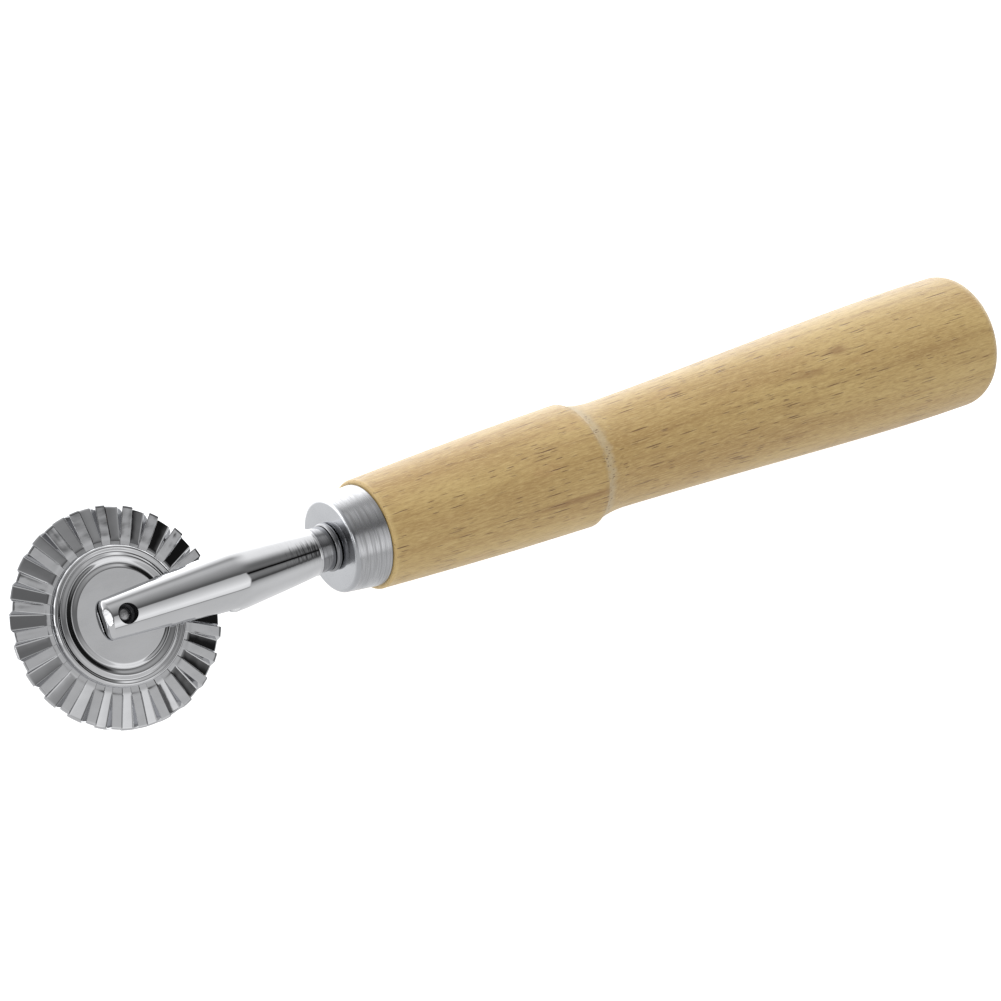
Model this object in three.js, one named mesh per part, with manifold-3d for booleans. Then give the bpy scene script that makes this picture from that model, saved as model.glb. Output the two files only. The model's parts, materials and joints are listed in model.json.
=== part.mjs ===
// Pastry cutter wheel: a fluted disc that spins on a pin in a slotted double-cone fork, carried on a
// turned wooden handle with a steel ferrule. Millimetres, +Z up. The tool lies on its side: the
// handle's axis runs along +X from the wheel to the butt, and the wheel's axle stands along +Z.
// Lengths along the handle ("at") are measured from the axle; heights across it are radii.
import * as THREE from 'three';
import { mergeVertices } from 'three/addons/utils/BufferGeometryUtils.js';
import Module from 'manifold-3d';

const wasm = await Module();
wasm.setup();

// ---- overall ----------------------------------------------------------------------------------
const TURNED_SIDES = 48;          // facets around the pieces turned on the handle's axis
const AXLE_SIDES = 24;            // facets around the pin, the bush and their bores
const FIT_GAP = 0.05;             // gap all round two pieces that are pressed or seated together
const RUN_GAP = 0.06;             // radial running clearance between pin and bush
const CUT_PAST = 1;               // cutting shapes run this far past what they cut

// ---- wheel: blade, two hub caps and a bush ------------------------------------------------------
const WHEEL_R = 17.5;             // rim of the fluted disc
const FLUTES = 24;                // flat lands, with a pressed trough between each two
const FLUTE_MARGIN = 0.7;         // the disc stays flat this far outside the caps
const FLUTE_TURN = 7;             // degrees from +X to the middle of the first land
const LAND_HALF = 0.8;            // half the width of a land, the same from its start to the rim
const LAND_RISE = 0.2;            // the lands stand this far over the disc's mid-plane
const LAND_RAMP = 0.6;            // length over which they rise
const TROUGH_DROP = 1.2;          // a trough's floor is this far under the mid-plane at the rim
const WALL_SLOPE = 1.3;           // fall of a trough's wall for each millimetre across it
const LEAST_STRIP = 0.05;         // walls and floors are never narrower than this
const BLADE_ROWS = 4;             // facets from the top of the lands' ramp to the rim
const BLADE_HALF = 0.4;           // half the sheet's thickness
const RIM_HALF = 0.3;             // the same at the cutting edge
const CAP_R = 11.1;               // outside of a hub cap
const CAP_FACE = 1.55;            // height of a cap's flat face over the wheel's mid-plane
const CAP_FLAT_R = 7.3;           // the cap's flat centre ends here
const CAP_BEAD_R = 9.2;           // crest of the raised ring around it
const CAP_BEAD_HALF = 0.85;       // half the ring's width
const CAP_LIP_R = 10.55;          // crest of the cap's rounded lip
const CAP_LIP_FACE = 1.3;         // height of the lip's crest
const CAP_GROOVE = 0.22;          // depth of the grooves between them
const BUSH_WALL = 0.75;
const BUSH_PROUD = 0.2;           // the bush stands out of each cap and keeps it off the fork

// ---- fork and axle pin ----------------------------------------------------------------------------
const PIN_R = 1.1;
const PIN_RECESS = 1.3;           // the pin's ends lie this far below the arms' crests
const COUNTERBORE_MARGIN = 0.55;  // how much wider than the pin it is, in radius
const COUNTERBORE_DEPTH = 1.5;    // below the arms' crests
const PIN_CHAMFER = 0.2;
const SIDE_GAP = 0.15;            // between the bush's end and the slot's wall
const ARM_R = 4.05;               // radius of the front cone at the axle
const WAIST_R = 5.25;             // radius where the two cones meet
const WAIST_PAST_ROOT = 1.0;      // the cones meet this far behind the slot's root
const WAIST_BLEND = 1.6;          // half the length over which the cones blend
const NOSE_LENGTH = 3.6;          // from the axle to the flat ends of the arms
const NOSE_EDGE = 1.1;            // radius of the edge round those ends
const TIP_CLEAR = 2.0;            // between the wheel's rim and the slot's root
const FORK_REAR_R = 3.95;
const REAR_CONE_LENGTH = 15.1;
const SOCKET_DEPTH = 8;           // the tang's spigot goes this far into the fork

// ---- tang -----------------------------------------------------------------------------------------
const NECK_R = 3.7;
const NECK_LENGTH = 3.6;          // from the fork's rear face to the ferrule's front face
const BEAD_RISE = 0.35;           // rounded bead just ahead of the ferrule
const BEAD_LENGTH = 1.2;
const SPIGOT_R = 2.4;
const ROD_R = 2.5;                // the part inside the wood
const ROD_LENGTH = 34;            // from the ferrule's front face
const ROD_POINT = 4;              // length of its pointed end
const ROD_TIP_R = 0.85;           // and the radius of its blunt tip

// ---- ferrule --------------------------------------------------------------------------------------
const FERRULE_FRONT_R = 7.9;
const FERRULE_REAR_R = 8.52;
const FERRULE_LENGTH = 6.5;
const FERRULE_WALL = 0.8;
const FERRULE_EDGE = 0.7;         // radius of its rounded front edge

// ---- handle ---------------------------------------------------------------------------------------
const SHOULDER_STEP = 0.68;       // the wood's front face stands proud of the ferrule
const SHOULDER_EDGE = 0.5;        // radius of that face's edge
const BARREL_R = 10.78;           // the ridge at the end of the barrel
const BARREL_LENGTH = 41.95;      // from the shoulder to the ridge
const BARREL_SWELL = 0.18;        // how far the barrel bulges over a straight cone
const WAIST_DROP = 1.43;          // the waist's radius is this much less than the ridge's
const COVE_LENGTH = 7.5;          // from the ridge down into the waist
const COVE_STEP = 0.35;           // the ridge's drop at its rear edge
const BUTT_R = 12.1;              // widest radius of the rear grip
const BUTT_LENGTH = 7.5;          // from the widest place to the flat rear end
const GRIP_LENGTH = 89.3;         // from the ridge to the flat rear end
const GRIP_EASE = 0.7;            // the flare's rise over the waist at the first of its two pulls
const FLARE_PULLS = [1 / 3, 3 / 4];  // places of the two pulls along the flare
const COVE_PULLS = [1 / 3, 2 / 3];   // and along the cove
const BUTT_CORNER = 3.2;          // radius between the butt's side and its end
const TENON_GAP = 0.5;            // between the tenon's end and the ferrule's front wall
const BORE_PAST_ROD = 1;          // the bore for the tang runs this far past the rod's tip

// ---- worked out -----------------------------------------------------------------------------------
const BUSH_HALF = CAP_FACE + BUSH_PROUD;
const FLUTE_HALF = Math.max(LAND_RISE, TROUGH_DROP) + RIM_HALF;
const SLOT_HALF = Math.max(BUSH_HALF, FLUTE_HALF) + SIDE_GAP;
const BUSH_BORE_R = PIN_R + RUN_GAP;
const BUSH_R = BUSH_BORE_R + BUSH_WALL;
const FLUTE_START_R = CAP_R + FLUTE_MARGIN;
const COUNTERBORE_R = PIN_R + COUNTERBORE_MARGIN;
const SLOT_ROOT_AT = WHEEL_R + TIP_CLEAR;
const WAIST_AT = SLOT_ROOT_AT + WAIST_PAST_ROOT;
const FORK_REAR_AT = WAIST_AT + REAR_CONE_LENGTH;
const NOSE_AT = -NOSE_LENGTH;
const FERRULE_AT = FORK_REAR_AT + NECK_LENGTH;
const SHOULDER_AT = FERRULE_AT + FERRULE_LENGTH + FIT_GAP;
const SHOULDER_R = FERRULE_REAR_R + SHOULDER_STEP;
const TENON_R = FERRULE_FRONT_R - FERRULE_WALL - FIT_GAP;
const TENON_AT = FERRULE_AT + FERRULE_WALL + TENON_GAP;
const RIDGE_AT = SHOULDER_AT + BARREL_LENGTH;
const HANDLE_WAIST_R = BARREL_R - WAIST_DROP;
const HANDLE_END = RIDGE_AT + GRIP_LENGTH;
const BUTT_AT = HANDLE_END - BUTT_LENGTH;
const AXIS_HEIGHT = Math.max(BUTT_R, BARREL_R, SHOULDER_R, WAIST_R);
const MIDDLE_AT = (HANDLE_END - WHEEL_R) / 2;

// ---- finishes -------------------------------------------------------------------------------------
const wood = () => new THREE.MeshStandardMaterial({ color: 0xcfae78, roughness: 0.5, metalness: 0 });
const chrome = () => new THREE.MeshStandardMaterial({ color: 0xd6d8dc, roughness: 0.12, metalness: 1 });
const steel = () => new THREE.MeshStandardMaterial({ color: 0xb4b6ba, roughness: 0.35, metalness: 1 });

// ---- geometry helpers -----------------------------------------------------------------------------
const point = (at, r) => new THREE.Vector2(r, at);

/** Part of an ellipse from one angle to another, in degrees, as profile points. */
function arc(at, r, alongRadius, acrossRadius, from, to, steps) {
  const points = [];
  for (let i = 0; i <= steps; i += 1) {
    const turn = THREE.MathUtils.degToRad(from + (to - from) * i / steps);
    points.push(point(at + alongRadius * Math.cos(turn), r + acrossRadius * Math.sin(turn)));
  }
  return points;
}

/** A closed surface turned from a profile about +Y, with only its positions kept. */
function turned(profile, sides) {
  const lathe = new THREE.LatheGeometry(profile, sides);
  lathe.deleteAttribute('normal');
  lathe.deleteAttribute('uv');
  return mergeVertices(lathe, 1e-5);
}

/** Turned on the handle's axis: +Y of the profile becomes +X. */
function alongHandle(profile) {
  return turned(profile, TURNED_SIDES).rotateZ(-Math.PI / 2);
}

/** Turned on the axle: +Y of the profile becomes +Z. */
function alongAxle(profile, sides) {
  return turned(profile, sides).rotateX(Math.PI / 2);
}

/** A profile that closes on itself, for a ring or a sleeve. */
function ring(points) {
  return [...points, points[0]];
}

function toSolid(geometry) {
  const merged = mergeVertices(geometry, 1e-5);
  return new wasm.Manifold(new wasm.Mesh({
    numProp: 3,
    vertProperties: new Float32Array(merged.attributes.position.array),
    triVerts: new Uint32Array(merged.index.array),
  }));
}

function fromSolid(solid) {
  const mesh = solid.getMesh();
  const geometry = new THREE.BufferGeometry();
  geometry.setAttribute('position', new THREE.BufferAttribute(mesh.vertProperties, 3));
  geometry.setIndex(new THREE.BufferAttribute(mesh.triVerts, 1));
  return geometry;
}

function bareBox(x, y, z) {
  const box = new THREE.BoxGeometry(x, y, z);
  box.deleteAttribute('normal');
  box.deleteAttribute('uv');
  return box;
}

// ---- wheel ----------------------------------------------------------------------------------------
/**
 * One flute at a radius: the foot of a trough's wall, the two edges of a land and the next foot.
 * Each is the angle from the land's middle and the height of the sheet's middle there.
 */
function fluteColumns(r) {
  const out = Math.max(r, FLUTE_START_R);
  const land = LAND_RISE * Math.min((out - FLUTE_START_R) / LAND_RAMP, 1);
  const floor = -TROUGH_DROP * (out - FLUTE_START_R) / (WHEEL_R - FLUTE_START_R);
  const halfPitch = Math.PI * out / FLUTES;
  const widest = halfPitch - LAND_HALF - LEAST_STRIP;
  const wall = THREE.MathUtils.clamp((land - floor) / WALL_SLOPE, LEAST_STRIP, widest);
  const foot = Math.max(floor, land - WALL_SLOPE * wall);
  const footTurn = (LAND_HALF + wall) / out;
  const edgeTurn = LAND_HALF / out;
  return [
    { turn: -footTurn, height: foot },
    { turn: -edgeTurn, height: land },
    { turn: edgeTurn, height: land },
    { turn: footTurn, height: foot },
  ];
}

/** Radii of the blade's rows of points, from its bore to its rim. */
function bladeRows() {
  const rows = [BUSH_R + FIT_GAP, FLUTE_START_R];
  for (let i = 0; i <= BLADE_ROWS; i += 1) {
    rows.push(THREE.MathUtils.lerp(FLUTE_START_R + LAND_RAMP, WHEEL_R, i / BLADE_ROWS));
  }
  return rows;
}

/** The sheet pressed into lands and troughs: the lower face from bore to rim, then the upper one. */
function bladeGeometry() {
  const rows = bladeRows();
  const half = (r) => THREE.MathUtils.mapLinear(Math.max(r, FLUTE_START_R), FLUTE_START_R, WHEEL_R,
    BLADE_HALF, RIM_HALF);
  const outline = [
    ...rows.map((r) => ({ r, lift: -half(r) })),
    ...rows.map((r) => ({ r, lift: half(r) })).reverse(),
  ];
  const corners = outline.flatMap(({ r, lift }) => {
    const flute = fluteColumns(r);
    const turns = Array.from({ length: FLUTES }, (_, i) => 2 * Math.PI * i / FLUTES);
    return turns.flatMap((start) => flute.flatMap(({ turn, height }) => [
      r * Math.cos(start + turn),
      r * Math.sin(start + turn),
      height + lift,
    ]));
  });
  const columns = corners.length / 3 / outline.length;
  const faces = [];
  for (let i = 0; i < outline.length; i += 1) {
    for (let j = 0; j < columns; j += 1) {
      const here = i * columns;
      const next = ((i + 1) % outline.length) * columns;
      const beside = (j + 1) % columns;
      faces.push(here + j, here + beside, next + beside);
      faces.push(here + j, next + beside, next + j);
    }
  }
  const disc = new THREE.BufferGeometry();
  disc.setAttribute('position', new THREE.BufferAttribute(new Float32Array(corners), 3));
  disc.setIndex(faces);
  return disc;
}

function capGeometry() {
  const seat = BLADE_HALF + FIT_GAP;
  const bore = BUSH_R + FIT_GAP;
  const groove = CAP_FACE - CAP_GROOVE;
  const lipHalf = CAP_R - CAP_LIP_R;
  const points = [
    new THREE.Vector2(bore, seat),
    new THREE.Vector2(CAP_R, seat),
    new THREE.Vector2(CAP_R, CAP_LIP_FACE - lipHalf / 2),
    new THREE.Vector2(CAP_LIP_R, CAP_LIP_FACE),
    new THREE.Vector2(CAP_BEAD_R + CAP_BEAD_HALF, CAP_LIP_FACE - CAP_GROOVE),
    new THREE.Vector2(CAP_BEAD_R + CAP_BEAD_HALF / 2, CAP_FACE),
    new THREE.Vector2(CAP_BEAD_R - CAP_BEAD_HALF / 2, CAP_FACE),
    new THREE.Vector2(CAP_BEAD_R - CAP_BEAD_HALF, groove),
    new THREE.Vector2(CAP_FLAT_R, CAP_FACE),
    new THREE.Vector2(bore, CAP_FACE),
  ];
  return alongAxle(ring(points), TURNED_SIDES);
}

function bushGeometry() {
  const points = [
    new THREE.Vector2(BUSH_BORE_R, -BUSH_HALF),
    new THREE.Vector2(BUSH_R, -BUSH_HALF),
    new THREE.Vector2(BUSH_R, BUSH_HALF),
    new THREE.Vector2(BUSH_BORE_R, BUSH_HALF),
  ];
  return alongAxle(ring(points), AXLE_SIDES);
}

// ---- fork and pin ---------------------------------------------------------------------------------
function plainPin(r, half) {
  const points = [
    new THREE.Vector2(0, -half),
    new THREE.Vector2(r, -half),
    new THREE.Vector2(r, half),
    new THREE.Vector2(0, half),
  ];
  return alongAxle(points, AXLE_SIDES);
}

/** The two cones, blended where they meet, with a flat nose and a flat rear face. */
function forkBody() {
  const edgeAt = NOSE_AT + NOSE_EDGE;
  const front = new THREE.Vector2(WAIST_AT - WAIST_BLEND, 0);
  front.y = THREE.MathUtils.mapLinear(front.x, 0, WAIST_AT, ARM_R, WAIST_R);
  const rear = new THREE.Vector2(WAIST_AT + WAIST_BLEND, 0);
  rear.y = THREE.MathUtils.mapLinear(rear.x, WAIST_AT, FORK_REAR_AT, WAIST_R, FORK_REAR_R);
  const noseR = THREE.MathUtils.mapLinear(edgeAt, 0, WAIST_AT, ARM_R, WAIST_R);
  const blend = new THREE.QuadraticBezierCurve(front, new THREE.Vector2(WAIST_AT, WAIST_R), rear);
  const profile = [
    point(NOSE_AT, 0),
    ...arc(edgeAt, noseR - NOSE_EDGE, NOSE_EDGE, NOSE_EDGE, 180, 90, 6),
    ...blend.getPoints(6).map((p) => point(p.x, p.y)),
    point(FORK_REAR_AT, FORK_REAR_R),
    point(FORK_REAR_AT, 0),
  ];
  return alongHandle(profile);
}

function forkGeometry() {
  const slotLength = SLOT_ROOT_AT - NOSE_AT + CUT_PAST;
  const slot = bareBox(slotLength, 4 * WAIST_R, 2 * SLOT_HALF);
  slot.translate(SLOT_ROOT_AT - slotLength / 2, 0, 0);
  const bore = plainPin(PIN_R + FIT_GAP, 2 * ARM_R);
  const mouth = plainPin(COUNTERBORE_R, ARM_R);
  const mouthLift = 2 * ARM_R - COUNTERBORE_DEPTH;
  const socket = alongHandle([
    point(FORK_REAR_AT - SOCKET_DEPTH, 0),
    point(FORK_REAR_AT - SOCKET_DEPTH, SPIGOT_R + FIT_GAP),
    point(FORK_REAR_AT + CUT_PAST, SPIGOT_R + FIT_GAP),
    point(FORK_REAR_AT + CUT_PAST, 0),
  ]);
  const body = toSolid(forkBody())
    .subtract(toSolid(slot))
    .subtract(toSolid(bore))
    .subtract(toSolid(mouth.clone().translate(0, 0, mouthLift)))
    .subtract(toSolid(mouth.clone().translate(0, 0, -mouthLift)))
    .subtract(toSolid(socket));
  return fromSolid(body);
}

function pinGeometry() {
  const half = ARM_R - PIN_RECESS;
  const points = [
    new THREE.Vector2(0, -half),
    new THREE.Vector2(PIN_R - PIN_CHAMFER, -half),
    new THREE.Vector2(PIN_R, -half + PIN_CHAMFER),
    new THREE.Vector2(PIN_R, half - PIN_CHAMFER),
    new THREE.Vector2(PIN_R - PIN_CHAMFER, half),
    new THREE.Vector2(0, half),
  ];
  return alongAxle(points, AXLE_SIDES);
}

// ---- tang, ferrule and handle ---------------------------------------------------------------------
function tangGeometry() {
  const neckFrom = FORK_REAR_AT + FIT_GAP;
  const beadMiddle = FERRULE_AT - BEAD_LENGTH / 2 - 2 * FIT_GAP;
  const rodEnd = FERRULE_AT + ROD_LENGTH;
  const profile = [
    point(FORK_REAR_AT - SOCKET_DEPTH + FIT_GAP, 0),
    point(FORK_REAR_AT - SOCKET_DEPTH + FIT_GAP, SPIGOT_R),
    point(neckFrom, SPIGOT_R),
    point(neckFrom, NECK_R),
    ...arc(beadMiddle, NECK_R, BEAD_LENGTH / 2, BEAD_RISE, 180, 0, 6),
    point(FERRULE_AT + FERRULE_WALL, NECK_R),
    point(FERRULE_AT + FERRULE_WALL, ROD_R),
    point(rodEnd - ROD_POINT, ROD_R),
    point(rodEnd, ROD_TIP_R),
    point(rodEnd, 0),
  ];
  return alongHandle(profile);
}

function ferruleGeometry() {
  const rear = FERRULE_AT + FERRULE_LENGTH;
  const inside = FERRULE_AT + FERRULE_WALL;
  const lining = TENON_R + FIT_GAP;
  const hole = NECK_R + FIT_GAP;
  const points = [
    point(inside, hole),
    point(FERRULE_AT, hole),
    ...arc(FERRULE_AT + FERRULE_EDGE, FERRULE_FRONT_R - FERRULE_EDGE, FERRULE_EDGE, FERRULE_EDGE,
      180, 90, 5),
    point(rear, FERRULE_REAR_R),
    point(rear, lining),
    point(inside, lining),
  ];
  return alongHandle(ring(points));
}

/** Radius of the barrel from the shoulder to the ridge: a cone with a slight swell. */
function barrelPoints(steps) {
  const from = SHOULDER_AT + SHOULDER_EDGE;
  const points = [];
  for (let i = 1; i <= steps; i += 1) {
    const share = i / steps;
    const swell = BARREL_SWELL * Math.sin(Math.PI * share);
    points.push(point(THREE.MathUtils.lerp(from, RIDGE_AT, share),
      THREE.MathUtils.lerp(SHOULDER_R, BARREL_R, share) + swell));
  }
  return points;
}

/** The cove behind the ridge and the grip that flares from it to the butt, as one smooth curve. */
function gripPoints() {
  const waistAt = RIDGE_AT + COVE_LENGTH;
  const cove = new THREE.CubicBezierCurve(
    new THREE.Vector2(RIDGE_AT + COVE_STEP, BARREL_R - COVE_STEP),
    new THREE.Vector2(RIDGE_AT + COVE_LENGTH * COVE_PULLS[0], HANDLE_WAIST_R + COVE_STEP),
    new THREE.Vector2(RIDGE_AT + COVE_LENGTH * COVE_PULLS[1], HANDLE_WAIST_R),
    new THREE.Vector2(waistAt, HANDLE_WAIST_R),
  );
  const flareLength = BUTT_AT - waistAt;
  const flare = new THREE.CubicBezierCurve(
    new THREE.Vector2(waistAt, HANDLE_WAIST_R),
    new THREE.Vector2(waistAt + flareLength * FLARE_PULLS[0], HANDLE_WAIST_R + GRIP_EASE),
    new THREE.Vector2(waistAt + flareLength * FLARE_PULLS[1], BUTT_R),
    new THREE.Vector2(BUTT_AT, BUTT_R),
  );
  const curve = [...cove.getPoints(5), ...flare.getPoints(10).slice(1)];
  return curve.map((p) => point(p.x, p.y));
}

function handleGeometry() {
  const boreEnd = FERRULE_AT + ROD_LENGTH + BORE_PAST_ROD;
  const boreR = ROD_R + FIT_GAP;
  const profile = [
    point(boreEnd, 0),
    point(boreEnd, boreR),
    point(TENON_AT, boreR),
    point(TENON_AT, TENON_R),
    point(SHOULDER_AT, TENON_R),
    ...arc(SHOULDER_AT + SHOULDER_EDGE, SHOULDER_R - SHOULDER_EDGE, SHOULDER_EDGE, SHOULDER_EDGE,
      180, 90, 3),
    ...barrelPoints(6),
    ...gripPoints(),
    ...arc(HANDLE_END - BUTT_CORNER, BUTT_R - BUTT_CORNER, BUTT_CORNER, BUTT_CORNER, 90, 0, 5),
    point(HANDLE_END, 0),
  ];
  return alongHandle(profile);
}

// ---- assembly -------------------------------------------------------------------------------------
function piece(name, geometry, material) {
  geometry.computeVertexNormals();
  const mesh = new THREE.Mesh(geometry, material);
  mesh.name = name;
  return mesh;
}

const blade = piece('blade', bladeGeometry(), chrome());
blade.rotation.z = THREE.MathUtils.degToRad(FLUTE_TURN);
const topCap = piece('hub_cap_top', capGeometry(), chrome());
const bottomCap = piece('hub_cap_bottom', capGeometry(), chrome());
bottomCap.rotation.x = Math.PI;

const tool = new THREE.Group();
tool.position.set(-MIDDLE_AT, 0, AXIS_HEIGHT);
tool.add(
  piece('handle', handleGeometry(), wood()),
  piece('ferrule', ferruleGeometry(), steel()),
  piece('tang', tangGeometry(), steel()),
  piece('fork', forkGeometry(), chrome()),
  piece('axle_pin', pinGeometry(), steel()),
  blade,
  topCap,
  bottomCap,
  piece('hub_bush', bushGeometry(), steel()),
);

const part = new THREE.Group();
part.add(tool);
export default part;
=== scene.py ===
"""Looks of the pastry cutter wheel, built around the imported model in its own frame.

The tool lies on its side on a pale floor: its handle runs along +X from the wheel to the butt and the
wheel's axle stands along +Z. Everything is in metres. Sizes inside the classes are written in
millimetres and turned into metres by ``mm``.
"""

import json
import logging
import math
import random
from dataclasses import dataclass, field
from enum import Enum

import bmesh
import bpy
from mathutils import Matrix, Vector, noise
from mathutils.bvhtree import BVHTree

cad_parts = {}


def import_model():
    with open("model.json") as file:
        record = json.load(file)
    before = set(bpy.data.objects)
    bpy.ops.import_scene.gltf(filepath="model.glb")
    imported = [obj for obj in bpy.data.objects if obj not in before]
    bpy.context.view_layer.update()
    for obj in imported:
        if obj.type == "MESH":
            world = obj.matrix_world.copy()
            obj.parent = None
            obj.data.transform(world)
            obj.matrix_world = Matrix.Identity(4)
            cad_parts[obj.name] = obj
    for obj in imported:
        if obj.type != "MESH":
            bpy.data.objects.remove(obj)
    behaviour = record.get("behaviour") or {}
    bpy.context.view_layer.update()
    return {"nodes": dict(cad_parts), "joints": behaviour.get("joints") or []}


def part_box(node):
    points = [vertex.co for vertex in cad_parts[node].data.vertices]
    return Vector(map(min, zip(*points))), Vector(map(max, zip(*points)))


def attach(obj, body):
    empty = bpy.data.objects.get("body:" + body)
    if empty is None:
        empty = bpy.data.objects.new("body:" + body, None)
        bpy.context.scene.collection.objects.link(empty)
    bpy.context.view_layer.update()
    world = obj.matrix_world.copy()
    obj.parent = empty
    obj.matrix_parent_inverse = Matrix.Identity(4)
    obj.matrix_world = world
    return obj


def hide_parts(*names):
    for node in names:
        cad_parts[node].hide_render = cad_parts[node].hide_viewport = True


LOG = logging.getLogger("pastry_wheel")

Point2 = tuple[float, float]
Colour = tuple[float, float, float]
Row = list[bmesh.types.BMVert]


def mm(length: float) -> float:
    """Millimetres as metres."""
    return length / 1000.0


def srgb(red: int, green: int, blue: int) -> Colour:
    """A display colour of 0 to 255 per channel, as scene-linear numbers.

    Args:
        red: Red channel.
        green: Green channel.
        blue: Blue channel.

    Returns:
        The three linear channels, from 0 to 1.
    """
    def linear(channel: int) -> float:
        """One channel of the standard curve."""
        share = channel / 255.0
        return share / 12.92 if share <= 0.04045 else ((share + 0.055) / 1.055) ** 2.4

    return linear(red), linear(green), linear(blue)


def lerp(low: float, high: float, share: float) -> float:
    """The value that lies share of the way from low to high."""
    return low + (high - low) * share


def smoothstep(low: float, high: float, value: float) -> float:
    """0 below low, 1 above high, and a smooth rise between them."""
    share = min(max((value - low) / (high - low), 0.0), 1.0)
    return share * share * (3.0 - 2.0 * share)


# ---- outlines -------------------------------------------------------------------------------------


def arc(centre: Point2, radii: Point2, start: float, end: float, steps: int) -> list[Point2]:
    """Points on a quarter, half or any other stretch of an ellipse.

    Args:
        centre: Middle of the ellipse, as (along the axis, across it).
        radii: Its half sizes along and across the axis.
        start: First angle in degrees, from the axis towards larger radius.
        end: Last angle in degrees.
        steps: Number of chords.

    Returns:
        The points, both ends included.
    """
    turns = [math.radians(lerp(start, end, i / steps)) for i in range(steps + 1)]
    return [(centre[0] + radii[0] * math.cos(t), centre[1] + radii[1] * math.sin(t)) for t in turns]


def bezier(ends: tuple[Point2, Point2], pulls: tuple[Point2, Point2], steps: int) -> list[Point2]:
    """Points on a cubic curve.

    Args:
        ends: First and last point.
        pulls: The two points that the curve leans towards.
        steps: Number of chords.

    Returns:
        The points, both ends included.
    """
    points = []
    for i in range(steps + 1):
        t = i / steps
        weights = ((1 - t) ** 3, 3 * t * (1 - t) ** 2, 3 * t * t * (1 - t), t ** 3)
        row = (ends[0], pulls[0], pulls[1], ends[1])
        points.append(tuple(sum(w * p[axis] for w, p in zip(weights, row)) for axis in (0, 1)))
    return points


def straight(start: Point2, end: Point2, steps: int) -> list[Point2]:
    """Evenly spaced points on a straight line, both ends included."""
    return [(lerp(start[0], end[0], i / steps), lerp(start[1], end[1], i / steps)) for i in range(steps + 1)]


# ---- meshes ---------------------------------------------------------------------------------------


class Axis(Enum):
    """The two lines that the tool's round pieces are turned on."""

    HANDLE = "handle"
    AXLE = "axle"


@dataclass(frozen=True)
class Frame:
    """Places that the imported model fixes.

    Attributes:
        axle: Centre of the wheel.
    """

    axle: Vector

    def place(self, axis: Axis, along: float, radius: float, turn: float) -> Vector:
        """A point on a turned surface.

        Args:
            axis: The line that the surface is turned on.
            along: Distance from the wheel's centre along that line.
            radius: Distance from that line.
            turn: Angle round the line, in radians.

        Returns:
            The point in the row frame.
        """
        side, rise = radius * math.cos(turn), radius * math.sin(turn)
        if axis is Axis.HANDLE:
            return self.axle + Vector((along, side, rise))
        return self.axle + Vector((side, rise, along))


def new_object(name: str, shape: bmesh.types.BMesh) -> bpy.types.Object:
    """Makes a scene object of a finished shape and frees the shape.

    Args:
        name: Name of the piece.
        shape: The shape in the row frame.

    Returns:
        The object, linked to the scene.
    """
    bmesh.ops.recalc_face_normals(shape, faces=shape.faces)
    mesh = bpy.data.meshes.new(name)
    shape.to_mesh(mesh)
    shape.free()
    piece = bpy.data.objects.new(name, mesh)
    bpy.context.scene.collection.objects.link(piece)
    return piece


def bridge(shape: bmesh.types.BMesh, first: Row, second: Row) -> None:
    """Joins two closed rows of as many points with a band of quads.

    Args:
        shape: The shape under construction.
        first: One row.
        second: The other row, in the same order.
    """
    count = len(first)
    for i in range(count):
        j = (i + 1) % count
        shape.faces.new((first[i], first[j], second[j], second[i]))


def turned(frame: Frame, name: str, profile: list[Point2], axis: Axis, closed: bool = False,
           sides: int = 160) -> bpy.types.Object:
    """A piece turned from a profile.

    Args:
        frame: The places that the model fixes.
        name: Name of the piece.
        profile: Points as (along the axis, radius). An open profile starts and ends on the axis.
        axis: The line that the piece is turned on.
        closed: True for a sleeve or ring, whose last point joins its first.
        sides: Facets all round.

    Returns:
        The piece.
    """
    shape = bmesh.new()
    rows = []
    for along, radius in profile:
        ring = [frame.place(axis, along, radius, math.tau * i / sides) for i in range(sides)]
        rows.append([shape.verts.new(p) for p in ring])
    pairs = list(zip(rows, rows[1:]))
    if closed:
        pairs.append((rows[-1], rows[0]))
    for first, second in pairs:
        bridge(shape, first, second)
    bmesh.ops.remove_doubles(shape, verts=shape.verts, dist=mm(0.0005))
    return new_object(name, shape)


def shade(piece: bpy.types.Object, crease: float = 38.0) -> None:
    """Smooth shading that keeps hard corners and leaves flats truly flat.

    Args:
        piece: The piece.
        crease: Corners sharper than this many degrees stay hard.
    """
    piece.data.shade_smooth()
    piece.data.set_sharp_from_angle(angle=math.radians(crease))
    weighted = piece.modifiers.new("even_normals", "WEIGHTED_NORMAL")
    weighted.keep_sharp = True


def carve(body: bpy.types.Object, cutter: bpy.types.Object) -> None:
    """Cuts one shape from another and keeps the surface's own smooth normals round the cut.

    Args:
        body: The piece that is cut.
        cutter: What is taken away; it is removed afterwards.
    """
    shapes = []
    for source in (body, cutter):
        source.data.shade_smooth()
        source.data.calc_loop_triangles()
        points = [v.co.copy() for v in source.data.vertices]
        corners = [tuple(t.vertices) for t in source.data.loop_triangles]
        normals = [v.normal.copy() for v in source.data.vertices]
        shapes.append((BVHTree.FromPolygons(points, corners), points, corners, normals))
    cut = body.modifiers.new("cut", "BOOLEAN")
    cut.operation = "DIFFERENCE"
    cut.solver = "EXACT"
    cut.object = cutter
    evaluated = body.evaluated_get(bpy.context.evaluated_depsgraph_get())
    result = bpy.data.meshes.new_from_object(evaluated)
    body.modifiers.clear()
    body.data = result
    bpy.data.objects.remove(cutter)
    result.shade_smooth()
    result.normals_split_custom_set(smooth_corners(result, shapes))


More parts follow.
